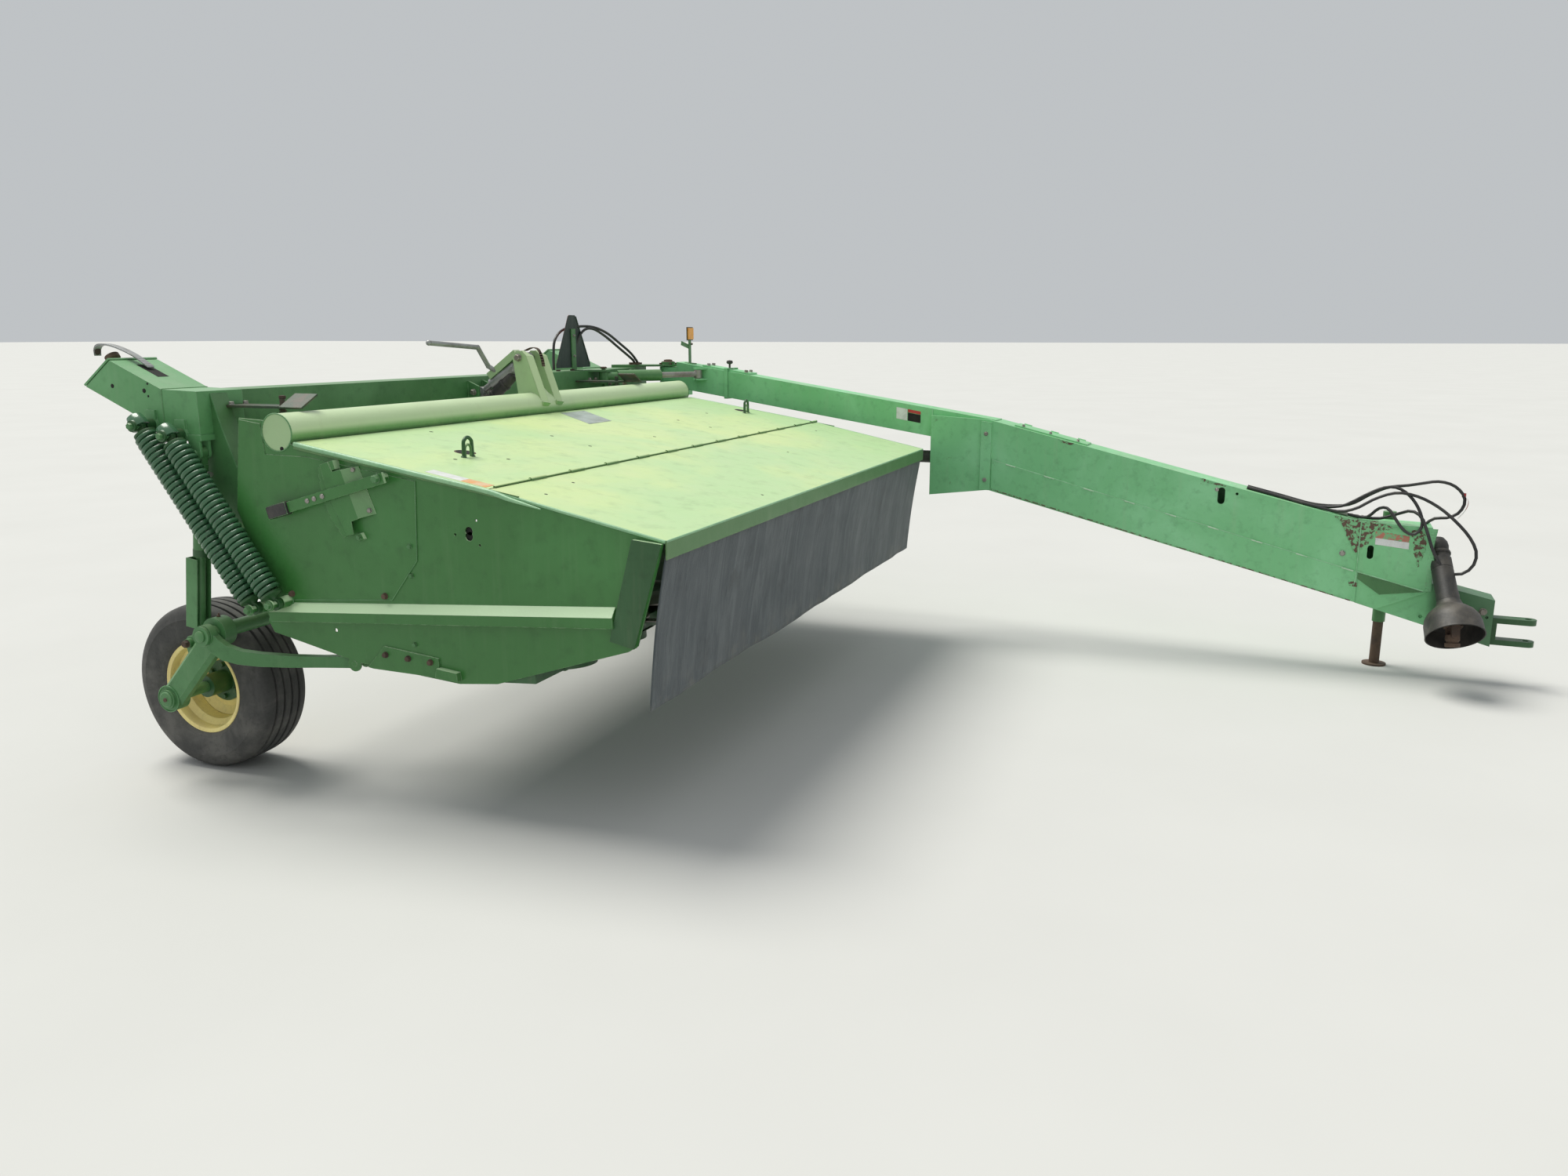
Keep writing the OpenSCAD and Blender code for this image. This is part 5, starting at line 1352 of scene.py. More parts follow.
@dataclass
class BeamFittings:
    """Holes, lock lever, weld beads, latch bolts and pivot hardware on the frame."""

    arm_holes: tuple[tuple[float, float, float], ...] = (
        (2575.0, 1698.0, 9.0), (2399.0, 1681.0, 9.5), (2377.0, 1710.0, 5.0), (2379.0, 1659.0, 5.0),
        (2216.0, 1530.0, 7.0))

    def arm_side(self, shape: Shape, side: Side) -> None:
        """Adds the holes, the slot, the end plate and the welds of one rear arm.

        Args:
            shape: The mesh that the pieces are added to.
            side: The side of the machine.
        """
        s = side.value
        away = Vector((float(s), 0.0, 0.0))
        for y, z, radius in self.arm_holes:
            if side is Side.RIGHT or y > 2300.0:
                shape.disc(at(s * 1830.0, y, z), away, radius, 0.6, 1)
        shape.weld([at(s * 1830.0, 2305.0, 1688.0), at(s * 1830.0, 2305.0, 1513.0)], 0.003, 4)
        shape.weld([at(s * x, 2305.0, 1688.5) for x in (1828.0, 1592.0)], 0.003, 4)
        slope = Vector((0.0, -115.0, 271.0)).normalized()
        shape.slab(
            [
                at(s * x, y, 1688.0 + (y - 2305.0) * 0.4244)
                for x, y in ((1740.0, 2530.0), (1684.0, 2530.0), (1684.0, 2415.0), (1740.0, 2415.0))],
            slope * 0.0006, 1)
        tip = [
            at(s * 1832.0, 2578.5, 1806.5), at(s * 1588.0, 2578.5, 1806.5), at(s * 1588.0, 2731.5, 1696.0),
            at(s * 1832.0, 2731.5, 1696.0)]
        shape.slab(tip, Vector((0.0, 0.0047, 0.0063)), 6)
        for y, z in (
            (2366.0, 1543.0), (2210.0, 1506.5)) if side is Side.RIGHT else ((2322.1, 1482.2), (2180.8, 1465.9)):
            shape.bolt(at(s * 1939.0, y, z), away, 24.0, 0)

    def leg_box(self, shape: Shape, side: Side) -> None:
        """Adds the box leg that leans from the beam's end down to the header, behind the springs.

        Args:
            shape: The mesh that the pieces are added to.
            side: The side of the machine.
        """
        rear = [(2250.0, 1507.0), (2196.0, 1380.0), (2120.0, 1250.0), (2036.0, 1140.0)]
        front = [(2116.0, 1672.0), (2068.0, 1528.0), (2008.0, 1374.0), (1942.0, 1200.0), (1920.0, 1120.0)]
        shape.side_plate(side, front + rear[::-1], 1674.0, 88.0, 0)
        shape.weld([at(side.value * 1762.0, y, z) for y, z in front], 0.003, 4)
        shape.side_plate(
            side, [(1985.0, 1150.0), (1925.0, 1128.0), (1880.0, 1010.0), (1950.0, 1060.0)], 1740.0, 90.0, 0)

    def lock_lever(self, shape: Shape) -> None:
        """Adds the grey bent lever and its rusty pivot on the right arm's top.

        Args:
            shape: The mesh that the pieces are added to.
        """
        path = curve_points(
            [
                at(-1712.0, 2480.0, 1772.0), at(-1720.0, 2560.0, 1822.0), at(-1734.0, 2650.0, 1858.0),
                at(-1740.0, 2716.0, 1864.0), at(-1742.0, 2740.0, 1848.0), at(-1742.0, 2744.0, 1820.0)],
            26)
        for a, b in zip(path, path[1:]):
            shape.slab(
                [
                    a + Vector((-0.017, 0.0, 0.0)), b + Vector((-0.017, 0.0, 0.0)), b + Vector((0.017, 0.0, 0.0)),
                    a + Vector((0.017, 0.0, 0.0))],
                Vector((0.0, 0.003, 0.007)), 5)
        post = looking(at(-1725.0, 2640.0, 1757.0), Vector((0.0, 0.58, 0.81)))
        shape.lathe(
            [
                (0.0, 0.0), (34.0, 0.0), (34.0, 14.0), (22.0, 20.0), (22.0, 56.0), (30.0, 60.0), (30.0, 78.0),
                (0.0, 82.0)],
            post, 24, 3)
        shape.bolt(at(-1742.0, 2741.0, 1838.0), Vector((0.0, 1.0, 0.2)), 22.0, 3)

    def latches(self, shape: Shape) -> None:
        """Adds the pins, springs and bolts on the header's latch plates."""
        for x in (-1645.0, 1315.0):
            shape.lathe(
                [
                    (0.0, 0.0), (13.0, 0.0), (13.0, 3.0), (8.0, 5.0), (8.0, 26.0), (14.0, 28.0), (14.0, 40.0),
                    (0.0, 42.0)],
                looking(at(x, 1850.0, 1622.0), Vector((0.05, 0.0, 1.0))), 20, 3)
            coil = [
                at(x + 14.0 * math.cos(a), 1850.0 + 14.0 * math.sin(a), 1608.0 - a * 1.6)
                for a in (0.5 * k for k in range(66))]
            shape.sweep(coil, 0.0022, 6, 3)
            shape.bolt(at(x - 38.0, 2085.0, 1622.0), Vector((0.0, 0.0, 1.0)), 19.0, 2)
            shape.bolt(at(x + 38.0, 2085.0, 1622.0), Vector((0.0, 0.0, 1.0)), 19.0, 2)

    def pivot(self, shape: Shape) -> None:
        """Adds the swing pin's cap, the hose clamp, the flat stay and bolts round the pivot.

        Args:
            shape: The mesh that the pieces are added to.
        """
        up = Vector((0.0, 0.0, 1.0))
        cap = looking(at(2150.0, 1950.0, 1718.0), up)
        shape.lathe(
            [(0.0, 0.0), (44.0, 0.0), (44.0, 5.0), (30.0, 8.0), (30.0, 16.0), (12.0, 20.0), (0.0, 20.0)], cap, 32, 3
        )
        for k in range(4):
            a = math.pi * (0.25 + k * 0.5)
            shape.bolt(
                at(2150.0 + 92.0 * math.cos(a) * 0.62, 1950.0 + 92.0 * math.sin(a) * 0.62, 1702.0), up, 17.0, 3)
        for x, y in ((1985.0, 2160.0), (2040.0, 2160.0), (2095.0, 2160.0)):
            shape.bolt(at(x, y, 1702.0), up, 24.0, 3)
        shape.slab(
            [
                at(1955.0, 2098.0, 1704.0), at(2035.0, 2098.0, 1704.0), at(2035.0, 2136.0, 1704.0),
                at(1955.0, 2136.0, 1704.0)],
            up * 0.014, 3)
        shape.slab(
            [
                at(1500.0, 2108.0, 1560.0), at(1500.0, 2108.0, 1594.0), at(1860.0, 2098.0, 1676.0),
                at(1860.0, 2098.0, 1642.0)],
            Vector((0.0, -0.010, 0.0)), 0)
        shape.slab(
            [
                at(1860.0, 2098.0, 1676.0), at(1860.0, 2098.0, 1642.0), at(1948.0, 2098.0, 1642.0),
                at(1948.0, 2098.0, 1676.0)],
            Vector((0.0, -0.010, 0.0)), 0)
        for x in (1540.0, 1900.0):
            shape.bolt(at(x, 2088.0, 1590.0 if x < 1600.0 else 1659.0), Vector((0.0, -1.0, 0.0)), 19.0, 2)
        shape.lathe(
            [(0.0, 0.0), (22.0, 0.0), (22.0, 8.0), (16.0, 12.0), (0.0, 12.0)],
            looking(at(1400.0, 2050.0, 1692.0), up), 24, 3)

    def build(self) -> None:
        """Makes the fittings of the frame."""
        shape = Shape()
        for side in Side:
            self.arm_side(shape, side)
            self.leg_box(shape, side)
            s = side.value
            shape.lathe(
                [(0.0, 0.0), (24.0, 0.0), (24.0, 6.0), (19.0, 9.0), (0.0, 9.0)],
                looking(at(s * 1984.0, 2065.0, 695.0), Vector((float(s), 0.0, 0.0))), 24, 0)
            for y in (2128.0, 2284.0):
                shape.weld([at(s * 1592.0, y, 1502.0), at(s * 1500.0, y, 1502.0)], 0.003, 4)
        self.lock_lever(shape)
        self.latches(shape)
        self.pivot(shape)
        for x in (1069.0, 1240.0):
            shape.disc(at(x, 2190.0, 1682.0), Vector((0.0, 0.0, 1.0)), 14.0, 10.0, 3)
        for x in (6.0, 18.0, 142.0, 154.0):
            shape.weld([at(x, 2115.0, 1514.0), at(x, 2115.0, 1660.0)], 0.0035, 4)
        shape.build(
            "frame_fittings", [GREEN, SHADOW, STEEL, RUSTY, WELD_GREEN, GALVANISED, ARM_GREEN], "frame", 35.0)


@dataclass
class WheelArmFittings:
    """Caps, grease points and bolts of one wheel arm and its cylinder."""

    side: Side

    def build(self) -> None:
        """Makes the pieces that ride on the arm, at its hub and its rod's pin, and those that ride on the barrel.
        """
        s = float(self.side.value)
        name = self.side.name.lower()
        away = Vector((s, 0.0, 0.0))
        arm = Shape()
        cap = looking(at(s * 1925.0, 2360.0, 375.0), away)
        arm.lathe([(0.0, 0.0), (34.0, 0.0), (34.0, 4.0), (30.0, 7.0), (0.0, 7.0)], cap, 28, 0)
        arm.disc(at(s * 1932.0, 2360.0, 375.0), away, 9.0, 5.0, 1)
        arm.bolt(at(s * 1882.0, 2258.0, 622.0), away, 26.0, 1)
        arm.lathe(
            [(0.0, 0.0), (8.0, 0.0), (8.0, 7.0), (3.5, 9.0), (3.5, 17.0), (0.0, 18.0)],
            looking(at(s * 1883.0, 2065.0, 757.0), Vector((0.0, -0.3, 1.0))), 12, 1)
        for out in (1886.0, 1912.0):
            arm.weld([at(s * out, 2110.0, 700.0), at(s * out, 2130.0, 676.0)], 0.003, 2)
        ring = [
            at(s * 1915.0, 2360.0 + 57.0 * math.cos(a), 375.0 + 57.0 * math.sin(a))
            for a in (math.pi * k / 12 for k in range(25))]
        arm.weld(ring, 0.003, 2)
        arm.build(f"arm_fittings_{name}", [GREEN, RUSTY, WELD_GREEN], f"wheel_arm_body_{name}", 35.0)
        barrel = Shape()
        base = at(s * 1807.0, 2150.0, 1430.0)
        way = (at(s * 1807.0, 2258.0, 622.0) - base).normalized()
        tube = looking(base, way)
        barrel.lathe([(29.0, 410.0), (31.2, 412.0), (31.2, 440.0), (29.0, 443.0)], tube, 32, 0, closed=True)
        port = looking(tube @ Vector((0.0, 0.0, 0.090)) + Vector((0.0, -0.030, 0.0)), Vector((0.0, -1.0, 0.1)))
        barrel.lathe([(0.0, 0.0), (13.0, 0.0), (13.0, 14.0), (9.0, 16.0), (9.0, 30.0), (0.0, 30.0)], port, 12, 1)
        barrel.build(f"barrel_fittings_{name}", [DARK_GREEN, STEEL], f"lift_barrel_body_{name}", 35.0)


@dataclass
class TongueFittings:
    """Weld beads, hinged lid, bolts, blank labels, torn edge and rust marks of the tongue, and painted shade under
    its nose cover.
    """

    sheet: float = -109.0
    bolts: tuple[tuple[float, float, float, float], ...] = (
        (-105.0, 4437.0, 693.0, 24.0), (-93.0, 5164.0, 418.0, 30.0), (-105.0, 3740.0, 1020.0, 17.0),
        (-121.0, 2351.0, 1300.0, 20.0), (-121.0, 2351.0, 1010.0, 20.0))
    marks: tuple[tuple[tuple[Flat, ...], float, int, float, float], ...] = (
        (((4594.0, 831.0), (4765.0, 814.0), (4767.0, 778.0), (4596.0, 794.0)), -109.6, 5, 2.0, 2.0),
        (((4596.0, 794.0), (4767.0, 778.0), (4768.0, 740.0), (4598.0, 756.0)), -109.6, 6, 3.0, 1.0),
        (
            (
                (4380.0, 905.0), (4700.0, 862.0), (4660.0, 836.0), (4590.0, 842.0), (4570.0, 770.0),
                (4500.0, 700.0), (4470.0, 760.0), (4420.0, 860.0)),
            -109.5, 3, 5.0, 16.0),
        (
            ((4770.0, 850.0), (4850.0, 840.0), (4846.0, 720.0), (4822.0, 640.0), (4800.0, 700.0), (4790.0, 760.0)),
            -109.5, 3, 9.0, 13.0),
        (((3640.0, 1082.0), (3790.0, 1046.0), (3780.0, 1036.0), (3660.0, 1064.0)), -105.4, 3, 13.0, 8.0),
        (((2790.0, 1283.0), (2900.0, 1257.0), (2880.0, 1248.0), (2820.0, 1262.0)), -105.4, 3, 17.0, 6.0),
        (((1740.0, 1450.0), (1815.0, 1438.0), (1815.0, 1364.0), (1740.0, 1376.0)), -75.4, 6, 21.0, 0.4),
        (((1818.0, 1438.0), (1905.0, 1424.0), (1905.0, 1404.0), (1818.0, 1418.0)), -75.4, 7, 22.0, 0.4),
        (((1818.0, 1416.0), (1905.0, 1402.0), (1905.0, 1350.0), (1818.0, 1364.0)), -75.4, 8, 23.0, 0.4),)

    def top(self, along: float) -> float:
        """Gives the height of the deep section's top."""
        return 1385.0 + (along - 2370.0) * (876.0 - 1385.0) / (4525.0 - 2370.0)

    def tube_top(self, along: float) -> float:
        """Gives the height of the slim tube's top."""
        return 1738.0 - along * math.tan(math.radians(8.4))

    def patch(
        self, shape: Shape, corners: list[Flat], lateral: float, tone: int, seed: float, rough: float = 9.0
    ) -> None:
        """Adds a thin patch with a ragged outline on a side wall.

        Args:
            shape: The mesh that takes it.
            corners: Its corners along the tongue and in height.
            lateral: The wall's distance from the middle line.
            tone: Which finish it takes.
            seed: Which ragged outline it gets.
            rough: How far its edge wanders in millimetres.
        """
        edge: list[Vector] = []
        for (s0, z0), (s1, z1) in zip(corners, corners[1:] + corners[:1]):
            steps = max(2, int(math.hypot(s1 - s0, z1 - z0) / 9.0))
            for k in range(steps):
                t = k / steps
                s, z = s0 + (s1 - s0) * t, z0 + (z1 - z0) * t
                w = noise.noise_vector(Vector((s / 17.0, z / 17.0, seed))) * rough
                edge.append(on_tongue(lateral, s + w.x, z + w.y))
        shape.slab(edge, tongue_way(-1.0, 0.0, 0.0) * 0.0004, tone)

    def torn_edge(self, shape: Shape) -> None:
        """Adds the curled, torn front edge of the nose cover.

        Args:
            shape: The mesh that the pieces are added to.
        """
        rows, columns = 22, 7
        verts: list[Vector] = []
        for i in range(rows + 1):
            v = i / rows
            curl = 0.35 + 0.65 * math.sin(
                math.pi * min(1.0, v * 1.25)) + 0.25 * noise.noise(Vector((v * 4.0, 1.0, 5.0)))
            width = 34.0 + 12.0 * noise.noise(Vector((v * 3.0, 8.0, 2.0)))
            for j in range(columns + 1):
                u = j / columns
                bend = curl * 1.5 * u
                lateral = self.sheet - width * 0.55 * (1.0 - math.cos(bend)) * 1.1
                along = 4868.0 + width * math.sin(bend) / max(0.4, bend) * u
                verts.append(on_tongue(lateral, along, 862.0 - 352.0 * v))
        wide = columns + 1
        for i in range(rows):
            for j in range(columns):
                a, b, c, d = (
                    verts[k] for k in (i * wide + j, i * wide + j + 1, (i + 1) * wide + j + 1, (i + 1) * wide + j))
                shape.slab([a, b, c, d], tongue_way(1.0, 0.0, 0.0) * 0.003, 0)

    def lid(self, shape: Shape) -> None:
        """Adds the top lid's hinges and catch, and the clamp strap with its knob.

        Args:
            shape: The mesh that the pieces are added to.
        """
        for s in (2570.0, 2740.0, 2910.0):
            z = self.top(s) + 12.0
            ends = [
                on_tongue(78.0, s - 24.0, self.top(s - 24.0) + 8.0),
                on_tongue(78.0, s + 24.0, self.top(s + 24.0) + 8.0)]
            shape.sweep(ends, 0.007, 12, 0)
            shape.bolt(on_tongue(-52.0, s, z - 1.0), tongue_way(0.0, 0.23, 1.0), 15.0, 2)
        for s in (345.0, 635.0):
            shape.bolt(on_tongue(-36.0, s, self.tube_top(s) + 12.0), tongue_way(0.0, 0.15, 1.0), 22.0, 2)
            shape.bolt(on_tongue(36.0, s, self.tube_top(s) + 12.0), tongue_way(0.0, 0.15, 1.0), 22.0, 2)
        z = self.tube_top(500.0)
        band = [(-79.0, z + 16.0), (79.0, z + 16.0), (79.0, z - 184.0), (-79.0, z - 184.0)]
        loop = [on_tongue(x, 500.0, h) for x, h in band]
        for a, b in zip(loop, loop[1:] + loop[:1]):
            mid = (a + b) / 2
            shape.slab(
                [
                    a - tongue_way(0, 1, 0) * 0.014, b - tongue_way(0, 1, 0) * 0.014,
                    b + tongue_way(0, 1, 0) * 0.014, a + tongue_way(0, 1, 0) * 0.014],
                (mid - on_tongue(0.0, 500.0, z - 84.0)).normalized() * 0.004, 0)
        shape.lathe(
            [(0.0, 0.0), (7.0, 0.0), (7.0, 26.0), (19.0, 30.0), (23.0, 38.0), (19.0, 50.0), (0.0, 54.0)],
            looking(on_tongue(-20.0, 500.0, z + 19.0), tongue_way(0.0, 0.0, 1.0)), 24, 4)

    def build(self) -> None:
        """Makes the tongue's fittings."""
        shape = Shape()
        out = tongue_way(-1.0, 0.0, 0.0)
        for lateral, s, z, across in self.bolts:
            shape.bolt(on_tongue(lateral, s, z), out, across, 2)
        for s in (-1.0, 1.0):
            shape.weld(
                [
                    on_tongue(s * 106.0, 2390.0, 1137.0), on_tongue(s * 106.0, 3960.0, 735.0),
                    on_tongue(s * 106.0, 4520.0, 592.0)],
                0.004, 1)
            shape.weld(
                [
                    on_tongue(s * 76.0, 1985.0, self.tube_top(1985.0) - 4.0),
                    on_tongue(s * 76.0, 1985.0, self.tube_top(1985.0) - 176.0)],
                0.004, 1)
            shape.weld(
                [
                    on_tongue(s * 110.0, 4518.0, 876.0), on_tongue(s * 110.0, 4518.0, 562.0),
                    on_tongue(s * 104.0, 4500.0, 425.0)],
                0.0035, 1)
        # Weld dashes along the seam; their finish paints a highlight on them.
        for k in range(9):
            s0 = 2480.0 + 245.0 * k
            z0 = 1136.0 + (s0 - 2390.0) * (590.0 - 1136.0) / 2135.0
            shape.weld([on_tongue(-111.5, s0, z0), on_tongue(-111.5, s0 + 62.0, z0 - 15.9)], 0.0042, 9)
        shape.sweep(
            [on_tongue(-110.5, s0, z0) for s0, z0 in ((2395.0, 951.0), (3460.0, 684.0), (4500.0, 424.0))], 0.0034,
            6, 3)
        shape.sweep(
            [on_tongue(-110.0, s0, z0) for s0, z0 in ((4522.0, 594.0), (4690.0, 553.0), (4864.0, 510.0))], 0.0040,
            8, 1)
        # A darker green patch under the nose cover's lower edge: painted shade.
        self.patch(
            shape, [(4524.0, 590.0), (4864.0, 506.0), (4645.0, 472.0), (4519.0, 558.0)], self.sheet - 0.6, 10, 31.0,
            0.3)
        self.lid(shape)
        self.torn_edge(shape)
        for corners, lateral, tone, seed, ragged in self.marks:
            self.patch(shape, list(corners), lateral, tone, seed, ragged)
        cover = [
            (-104.0, 4580.0), (-60.0, 4555.0), (10.0, 4600.0), (40.0, 4700.0), (-10.0, 4800.0), (-70.0, 4850.0),
            (-104.0, 4840.0)]
        shape.slab(
            [on_tongue(x, s, 876.4 - (s - 4525.0) * 14.0 / 343.0) for x, s in cover], Vector((0.0, 0.0, 0.0006)), 3)
        self.patch(
            shape, [(4480.0, 540.0), (4530.0, 530.0), (4526.0, 504.0), (4490.0, 512.0)], -110.5, 3, 25.0, 7.0)
        shape.build(
            "tongue_fittings",
            [
                TONGUE_GREEN, TONGUE_WELD_HIGHLIGHT, STEEL, RUST_MARK, BLACK_PLASTIC, STICKER_RED, STICKER_WHITE, SIGN_RED,
                SHADOW, WELD_BEAD_HIGHLIGHT, GREEN],
            "tongue", 35.0)
        lamp = Shape()
        lamp.slab(
            [
                on_tongue(-38.0, 180.0, 1876.0), on_tongue(38.0, 180.0, 1876.0), on_tongue(38.0, 180.0, 1955.0),
                on_tongue(-38.0, 180.0, 1955.0)],
            tongue_way(0.0, 1.0, 0.0) * 0.009, 0)
        lamp.slab(
            [
                on_tongue(-44.0, 180.0, 1870.0), on_tongue(44.0, 180.0, 1870.0), on_tongue(44.0, 180.0, 1961.0),
                on_tongue(-44.0, 180.0, 1961.0)],
            tongue_way(0.0, -1.0, 0.0) * 0.004, 1)
        lamp.slab(
            [
                on_tongue(-16.0, 180.0, 1712.0), on_tongue(16.0, 180.0, 1712.0), on_tongue(16.0, 180.0, 1872.0),
                on_tongue(-16.0, 180.0, 1872.0)],
            tongue_way(0.0, -1.0, 0.0) * 0.006, 2)
        lamp.slab(
            [
                on_tongue(-30.0, 150.0, 1713.0), on_tongue(30.0, 150.0, 1713.0), on_tongue(30.0, 215.0, 1707.0),
                on_tongue(-30.0, 215.0, 1707.0)],
            tongue_way(0.0, 0.0, 1.0) * 0.006, 2)
        lamp.slab(
            [
                on_tongue(-120.0, 176.0, 1838.0), on_tongue(-10.0, 176.0, 1812.0), on_tongue(-10.0, 176.0, 1842.0),
                on_tongue(-112.0, 176.0, 1866.0)],
            tongue_way(0.0, -1.0, 0.0) * 0.004, 2)
        lamp.bolt(on_tongue(0.0, 190.0, 1845.0), tongue_way(0.0, 1.0, 0.0), 13.0, 3)
        lamp.build("amber_reflector", [AMBER, SIGN_BACK, GREEN, STEEL], "tongue", 35.0, bevel=2.0)


@dataclass
class DriveShields:
    """Ribbed black shields round the front drive shaft and the driveline."""

    top: Point = (-20.0, 4915.0, 755.0)
    mouth: Point = (-380.0, 5014.3, 329.5)
    yoke: float = 0.497
    droop: float = 0.45

    def front(self) -> None:
        """Makes the front shaft with its joint, tube, open bell and yoke."""
        start, end = on_tongue(*self.top), on_tongue(*self.mouth)
        place = looking(start, end - start)
        length = (end - start).length * 1000.0
        shape = Shape()
        shape.lathe(
            [
                (0.0, -52.0), (22.0, -50.0), (40.0, -38.0), (51.0, -16.0), (54.0, 6.0), (51.0, 28.0), (46.0, 36.0),
                (46.0, 44.0), (56.0, 46.0), (58.0, 54.0), (56.0, 62.0), (0.0, 62.0)],
            place, 40, 0)
        tube = [
            (0.0, 58.0), (50.0, 58.0), (50.0, 84.0), (55.0, 88.0), (55.0, 150.0), (53.0, 152.0), (53.0, 158.0),
            (55.0, 160.0), (56.0, 300.0), (58.0, 320.0), (58.0, 372.0), (0.0, 372.0)]
        shape.lathe(tube, place, 40, 0)
        bell = [
            (50.0, 360.0), (62.0, 362.0), (66.0, 376.0), (72.0, 392.0), (96.0, 412.0), (118.0, 434.0),
            (134.0, 462.0), (142.0, 492.0), (145.0, length - 8.0), (147.0, length), (141.0, length + 1.0),
            (138.0, 494.0), (130.0, 465.0), (114.0, 438.0), (92.0, 417.0), (68.0, 398.0), (52.0, 388.0)]
        shape.lathe(bell, place, 72, 0, closed=True)
        shape.lathe(
            [(0.0, 370.0), (34.0, 370.0), (34.0, 430.0), (46.0, 436.0), (46.0, 452.0), (0.0, 454.0)], place, 28, 1)
        joint = place @ Vector((0.0, 0.0, self.yoke))
        hung = looking(
            joint, (end - start).normalized() * self.droop + Vector((0.0, 0.0, -1.0))
        ) @ Matrix.Translation((0.0, 0.0, -self.yoke))
        for turn in (0.0, math.pi / 2):
            cross = place @ Matrix.Translation(
                (0.0, 0.0, self.yoke)) @ Matrix.Rotation(turn, 4, "Z") @ Matrix.Rotation(math.pi / 2, 4, "Y")
            shape.lathe(
                [(0.0, -47.0), (13.0, -47.0), (15.0, -44.0), (15.0, 44.0), (13.0, 47.0), (0.0, 47.0)], cross, 20, 1)
        for way in (-1.0, 1.0):
            for turn, z0, z1 in ((0.0, 440.0, 512.0), (math.pi / 2, 482.0, 562.0)):
                arm = (hung if turn else place) @ Matrix.Rotation(turn, 4, "Z") @ Matrix.Translation(
                    (way * 0.036 - 0.008, 0.0, 0.0))
                shape.slab(
                    [
                        arm @ (Vector((0.0, y, z)) / 1000.0)
                        for y, z in ((-22.0, z0), (22.0, z0), (20.0, z1), (-20.0, z1))],
                    arm.to_3x3() @ Vector((0.016, 0.0, 0.0)), 1)
        shape.lathe(
            [
                (17.0, 548.0), (34.0, 548.0), (36.0, 556.0), (36.0, 580.0), (30.0, 584.0), (30.0, 592.0),
                (38.0, 594.0), (38.0, 612.0), (34.0, 616.0), (17.0, 616.0)],
            hung, 32, 2, closed=True)
        shape.lathe([(0.0, 560.0), (16.0, 560.0), (16.0, 590.0), (0.0, 590.0)], hung, 12, 3)
        obj = shape.build("front_drive_shaft", [BLACK_PLASTIC, RUSTY, RUSTY, SHADOW], "tongue", 30.0)
        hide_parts("pto_shaft")

    def rear(self) -> None:
        """Makes the telescoping shaft below the tongue, which turns with it."""
        a = at(2060.0, 1655.0, 1130.0)
        turned = Matrix.Rotation(math.radians(-1.0), 3, "Z") @ Vector((0.0, -1.0, 0.0))
        place = looking(a, turned)
        shape = Shape()
        length = 20.3 + 1646.0
        shape.lathe(
            [
                (0.0, 20.3), (34.0, 20.3), (39.6, 30.0), (39.6, 150.0), (34.0, 170.0), (31.0, 176.0), (31.0, 760.0),
                (35.0, 768.0), (39.0, 772.0), (39.0, 800.0), (37.0, 804.0), (37.0, 1420.0), (39.6, 1440.0),
                (39.6, length - 12.0), (36.0, length), (0.0, length)],
            place, 36, 0)
        for z in (34.0, 146.0, 786.0, 1450.0):
            shape.lathe(
                [(38.0, z - 6.0), (40.0, z - 5.0), (40.0, z + 5.0), (38.0, z + 6.0)], place, 36, 1, closed=True)
        obj = shape.build("driveline_shields", [BLACK_PLASTIC, STEEL], "driveline", 30.0)
        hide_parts("header_driveline")

    def build(self) -> None:
        """Makes both shafts."""
        self.front()
        self.rear()


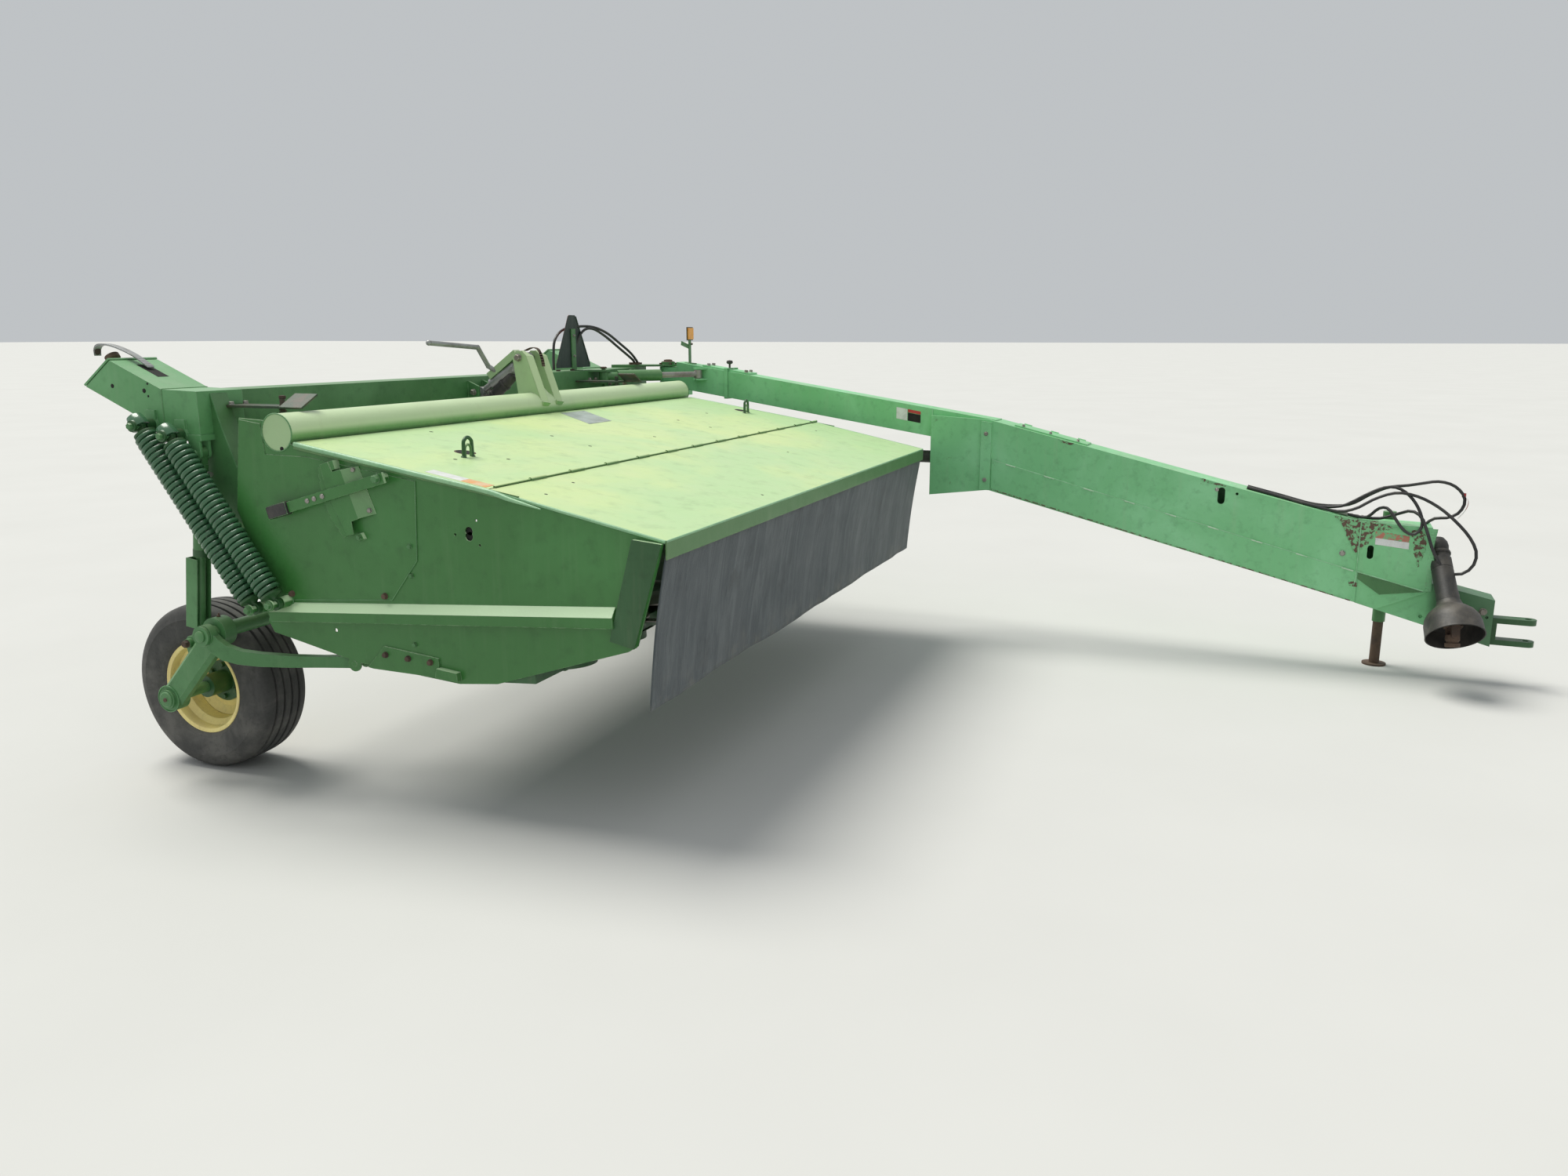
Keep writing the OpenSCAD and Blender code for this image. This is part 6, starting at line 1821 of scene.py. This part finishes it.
@dataclass
class Hoses:
    """Hydraulic hoses: looped over the tongue's front and arched at the pivot."""

    radius: float = 0.0085

    def cord(
        self, name: str, path: list[Vector], body: str) -> None:
        """Args:
            name: The piece's name.
            path: The points along its middle.
            body: The body that it rides on.
        """
        shape = Shape()
        shape.sweep(path, self.radius, 12, 0)
        obj = shape.build(name, [HOSE_RUBBER], body, 60.0)

    def coupling(self, name: str, tip: Vector, way: Vector, body: str) -> bpy.types.Object:
        """Makes the steel quick coupling on a hose end.

        Args:
            name: The name of the piece.
            tip: The hose's end.
            way: The way that the coupling points.
            body: The body that carries it.

        Returns:
            The finished piece.
        """
        shape = Shape()
        shape.lathe(
            [
                (0.0, -6.0), (10.0, -6.0), (12.5, 0.0), (12.5, 26.0), (15.0, 28.0), (15.0, 44.0), (12.0, 46.0),
                (12.0, 62.0), (9.0, 64.0), (9.0, 84.0), (0.0, 86.0)],
            looking(tip, way), 24, 0)
        return shape.build(name, [STEEL], body, 30.0)

    def build(self) -> None:
        """Makes the hoses and the tag on one of them."""
        lift = self.radius * 1000.0 + 1.0

        def cover(lateral: float, along: float, up: float = 0.0) -> Vector:
            """Gives a place that lies on the deep section's top."""
            return on_tongue(lateral, along, TongueFittings().top(along) + lift + up)

        loop = [
            cover(-40, 3900), cover(-46, 4080), cover(-58, 4240), cover(-66, 4390, 8), on_tongue(-84, 4484, 950),
            on_tongue(-92, 4562, 1003), on_tongue(-92, 4640, 1040), on_tongue(-92, 4712, 1050),
            on_tongue(-92, 4806, 1027), on_tongue(-104, 4902, 975), on_tongue(-134, 4985, 906),
            on_tongue(-150, 5052, 831), on_tongue(-152, 5090, 754), on_tongue(-152, 5085, 685),
            on_tongue(-150, 5050, 640), on_tongue(-150, 5000, 624), on_tongue(-150, 4945, 652),
            on_tongue(-148, 4888, 738), on_tongue(-142, 4846, 848), on_tongue(-122, 4812, 925),
            on_tongue(-70, 4762, 950), on_tongue(-30, 4700, 925), cover(0, 4610, 24), cover(8, 4500)]
        path = curve_points(loop, 60)
        tip = self.coupling("hose_coupling_near", path[-1], path[-1] - path[-2], "tongue")
        self.cord("tongue_hose_near", path, "tongue")
        ring = [
            cover(30, 3900), cover(34, 4080), cover(36, 4260), on_tongue(30, 4400, 946), on_tongue(24, 4476, 968),
            on_tongue(20, 4552, 1020), on_tongue(14, 4640, 1066), on_tongue(14, 4737, 1082),
            on_tongue(20, 4810, 1097), on_tongue(24, 4885, 1110), on_tongue(22, 4958, 1094),
            on_tongue(16, 5010, 1048), on_tongue(16, 5024, 996), on_tongue(20, 5000, 940), on_tongue(24, 4947, 910),
            on_tongue(34, 4880, 898), cover(44, 4800, 6), cover(52, 4690), cover(56, 4600)]
        far = curve_points(ring, 60)
        tip = self.coupling("hose_coupling_far", far[-1], far[-1] - far[-2], "tongue")
        tag = Shape()
        hang = [
            on_tongue(22, 5015, 1040), on_tongue(10, 5040, 1010), on_tongue(4, 5030, 960), on_tongue(2, 4998, 912)]
        ribbon = curve_points(hang, 16)
        for i, (a, b) in enumerate(zip(ribbon, ribbon[1:])):
            side = tongue_way(-1.0, 0.0, 0.0) * 0.011
            tag.slab(
                [a - side, b - side, b + side, a + side], tongue_way(0.0, 1.0, 0.0) * 0.0008, 0 if i < 9 else 1)
        for k in range(10):
            a = 2 * math.pi * k / 10
            b = 2 * math.pi * (k + 1) / 10
            centre = on_tongue(19, 5017, 1030)
            points = [centre + tongue_way(math.cos(t), math.sin(t), 0.0) * 0.0098 for t in (a, b)]
            tag.slab(
                [points[0], points[1], points[1] + Vector((0, 0, 0.022)), points[0] + Vector((0, 0, 0.022))],
                (points[0] - centre) * 0.08, 0)
        ribbon_piece = tag.build("hose_ribbon", [SIGN_RED, STICKER_WHITE], "tongue", 50.0)
        self.cord("tongue_hose_far", far, "tongue")
        third = [
            cover(-14, 3900), cover(-16, 4100), cover(-20, 4280), on_tongue(-44, 4400, 952),
            on_tongue(-60, 4461, 982), on_tongue(-64, 4530, 1028), on_tongue(-70, 4612, 1072),
            on_tongue(-74, 4680, 1076), on_tongue(-80, 4738, 1042), on_tongue(-98, 4786, 984),
            on_tongue(-122, 4816, 912), on_tongue(-128, 4812, 856), on_tongue(-128, 4776, 826),
            on_tongue(-128, 4728, 852), on_tongue(-124, 4680, 915), on_tongue(-96, 4644, 960),
            on_tongue(-50, 4600, 952), cover(-30, 4540, 14), cover(-26, 4440, 2)]
        inner = curve_points(third, 60)
        tip = self.coupling("hose_coupling_middle", inner[-1], inner[-1] - inner[-2], "tongue")
        self.cord("tongue_hose_middle", inner, "tongue")
        arch = [
            at(1075, 2226, 1690), at(1082, 2228, 1780), at(1115, 2232, 1880), at(1240, 2232, 1945),
            at(1452, 2180, 1962), at(1600, 2140, 1925), at(1760, 2120, 1850), at(1900, 2112, 1783),
            at(1985, 2112, 1728), at(1996, 2112, 1716)]
        self.cord("pivot_hose_long", curve_points(arch, 44), "frame")
        short = [
            at(1345, 2226, 1690), at(1334, 2222, 1780), at(1342, 2205, 1872), at(1398, 2185, 1938),
            at(1480, 2165, 1946), at(1600, 2145, 1900), at(1760, 2130, 1822), at(1900, 2126, 1760),
            at(1968, 2126, 1728), at(1976, 2126, 1716)]
        self.cord("pivot_hose_short", curve_points(short, 40), "frame")


def main() -> None:
    """Builds the studio and the machine's dress in order."""
    logging.basicConfig(level=logging.INFO, format="%(message)s")
    random.seed(7)
    noise.seed_set(OUTLINE_SEED)
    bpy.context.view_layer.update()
    Studio().build()
    Hoses().build()
    SHOP.dress_nodes(frame["nodes"])
    FloatSprings().build()
    for side in Side:
        Wheel(side).build()
        EndPanelFittings(side).build()
        WheelArmFittings(side).build()
    Curtain().build()
    HoodFittings().build()
    TiltBracket().build()
    WarningTriangle().build()
    BeamFittings().build()
    TongueFittings().build()
    DriveShields().build()


if __name__ == "__main__":
    main()
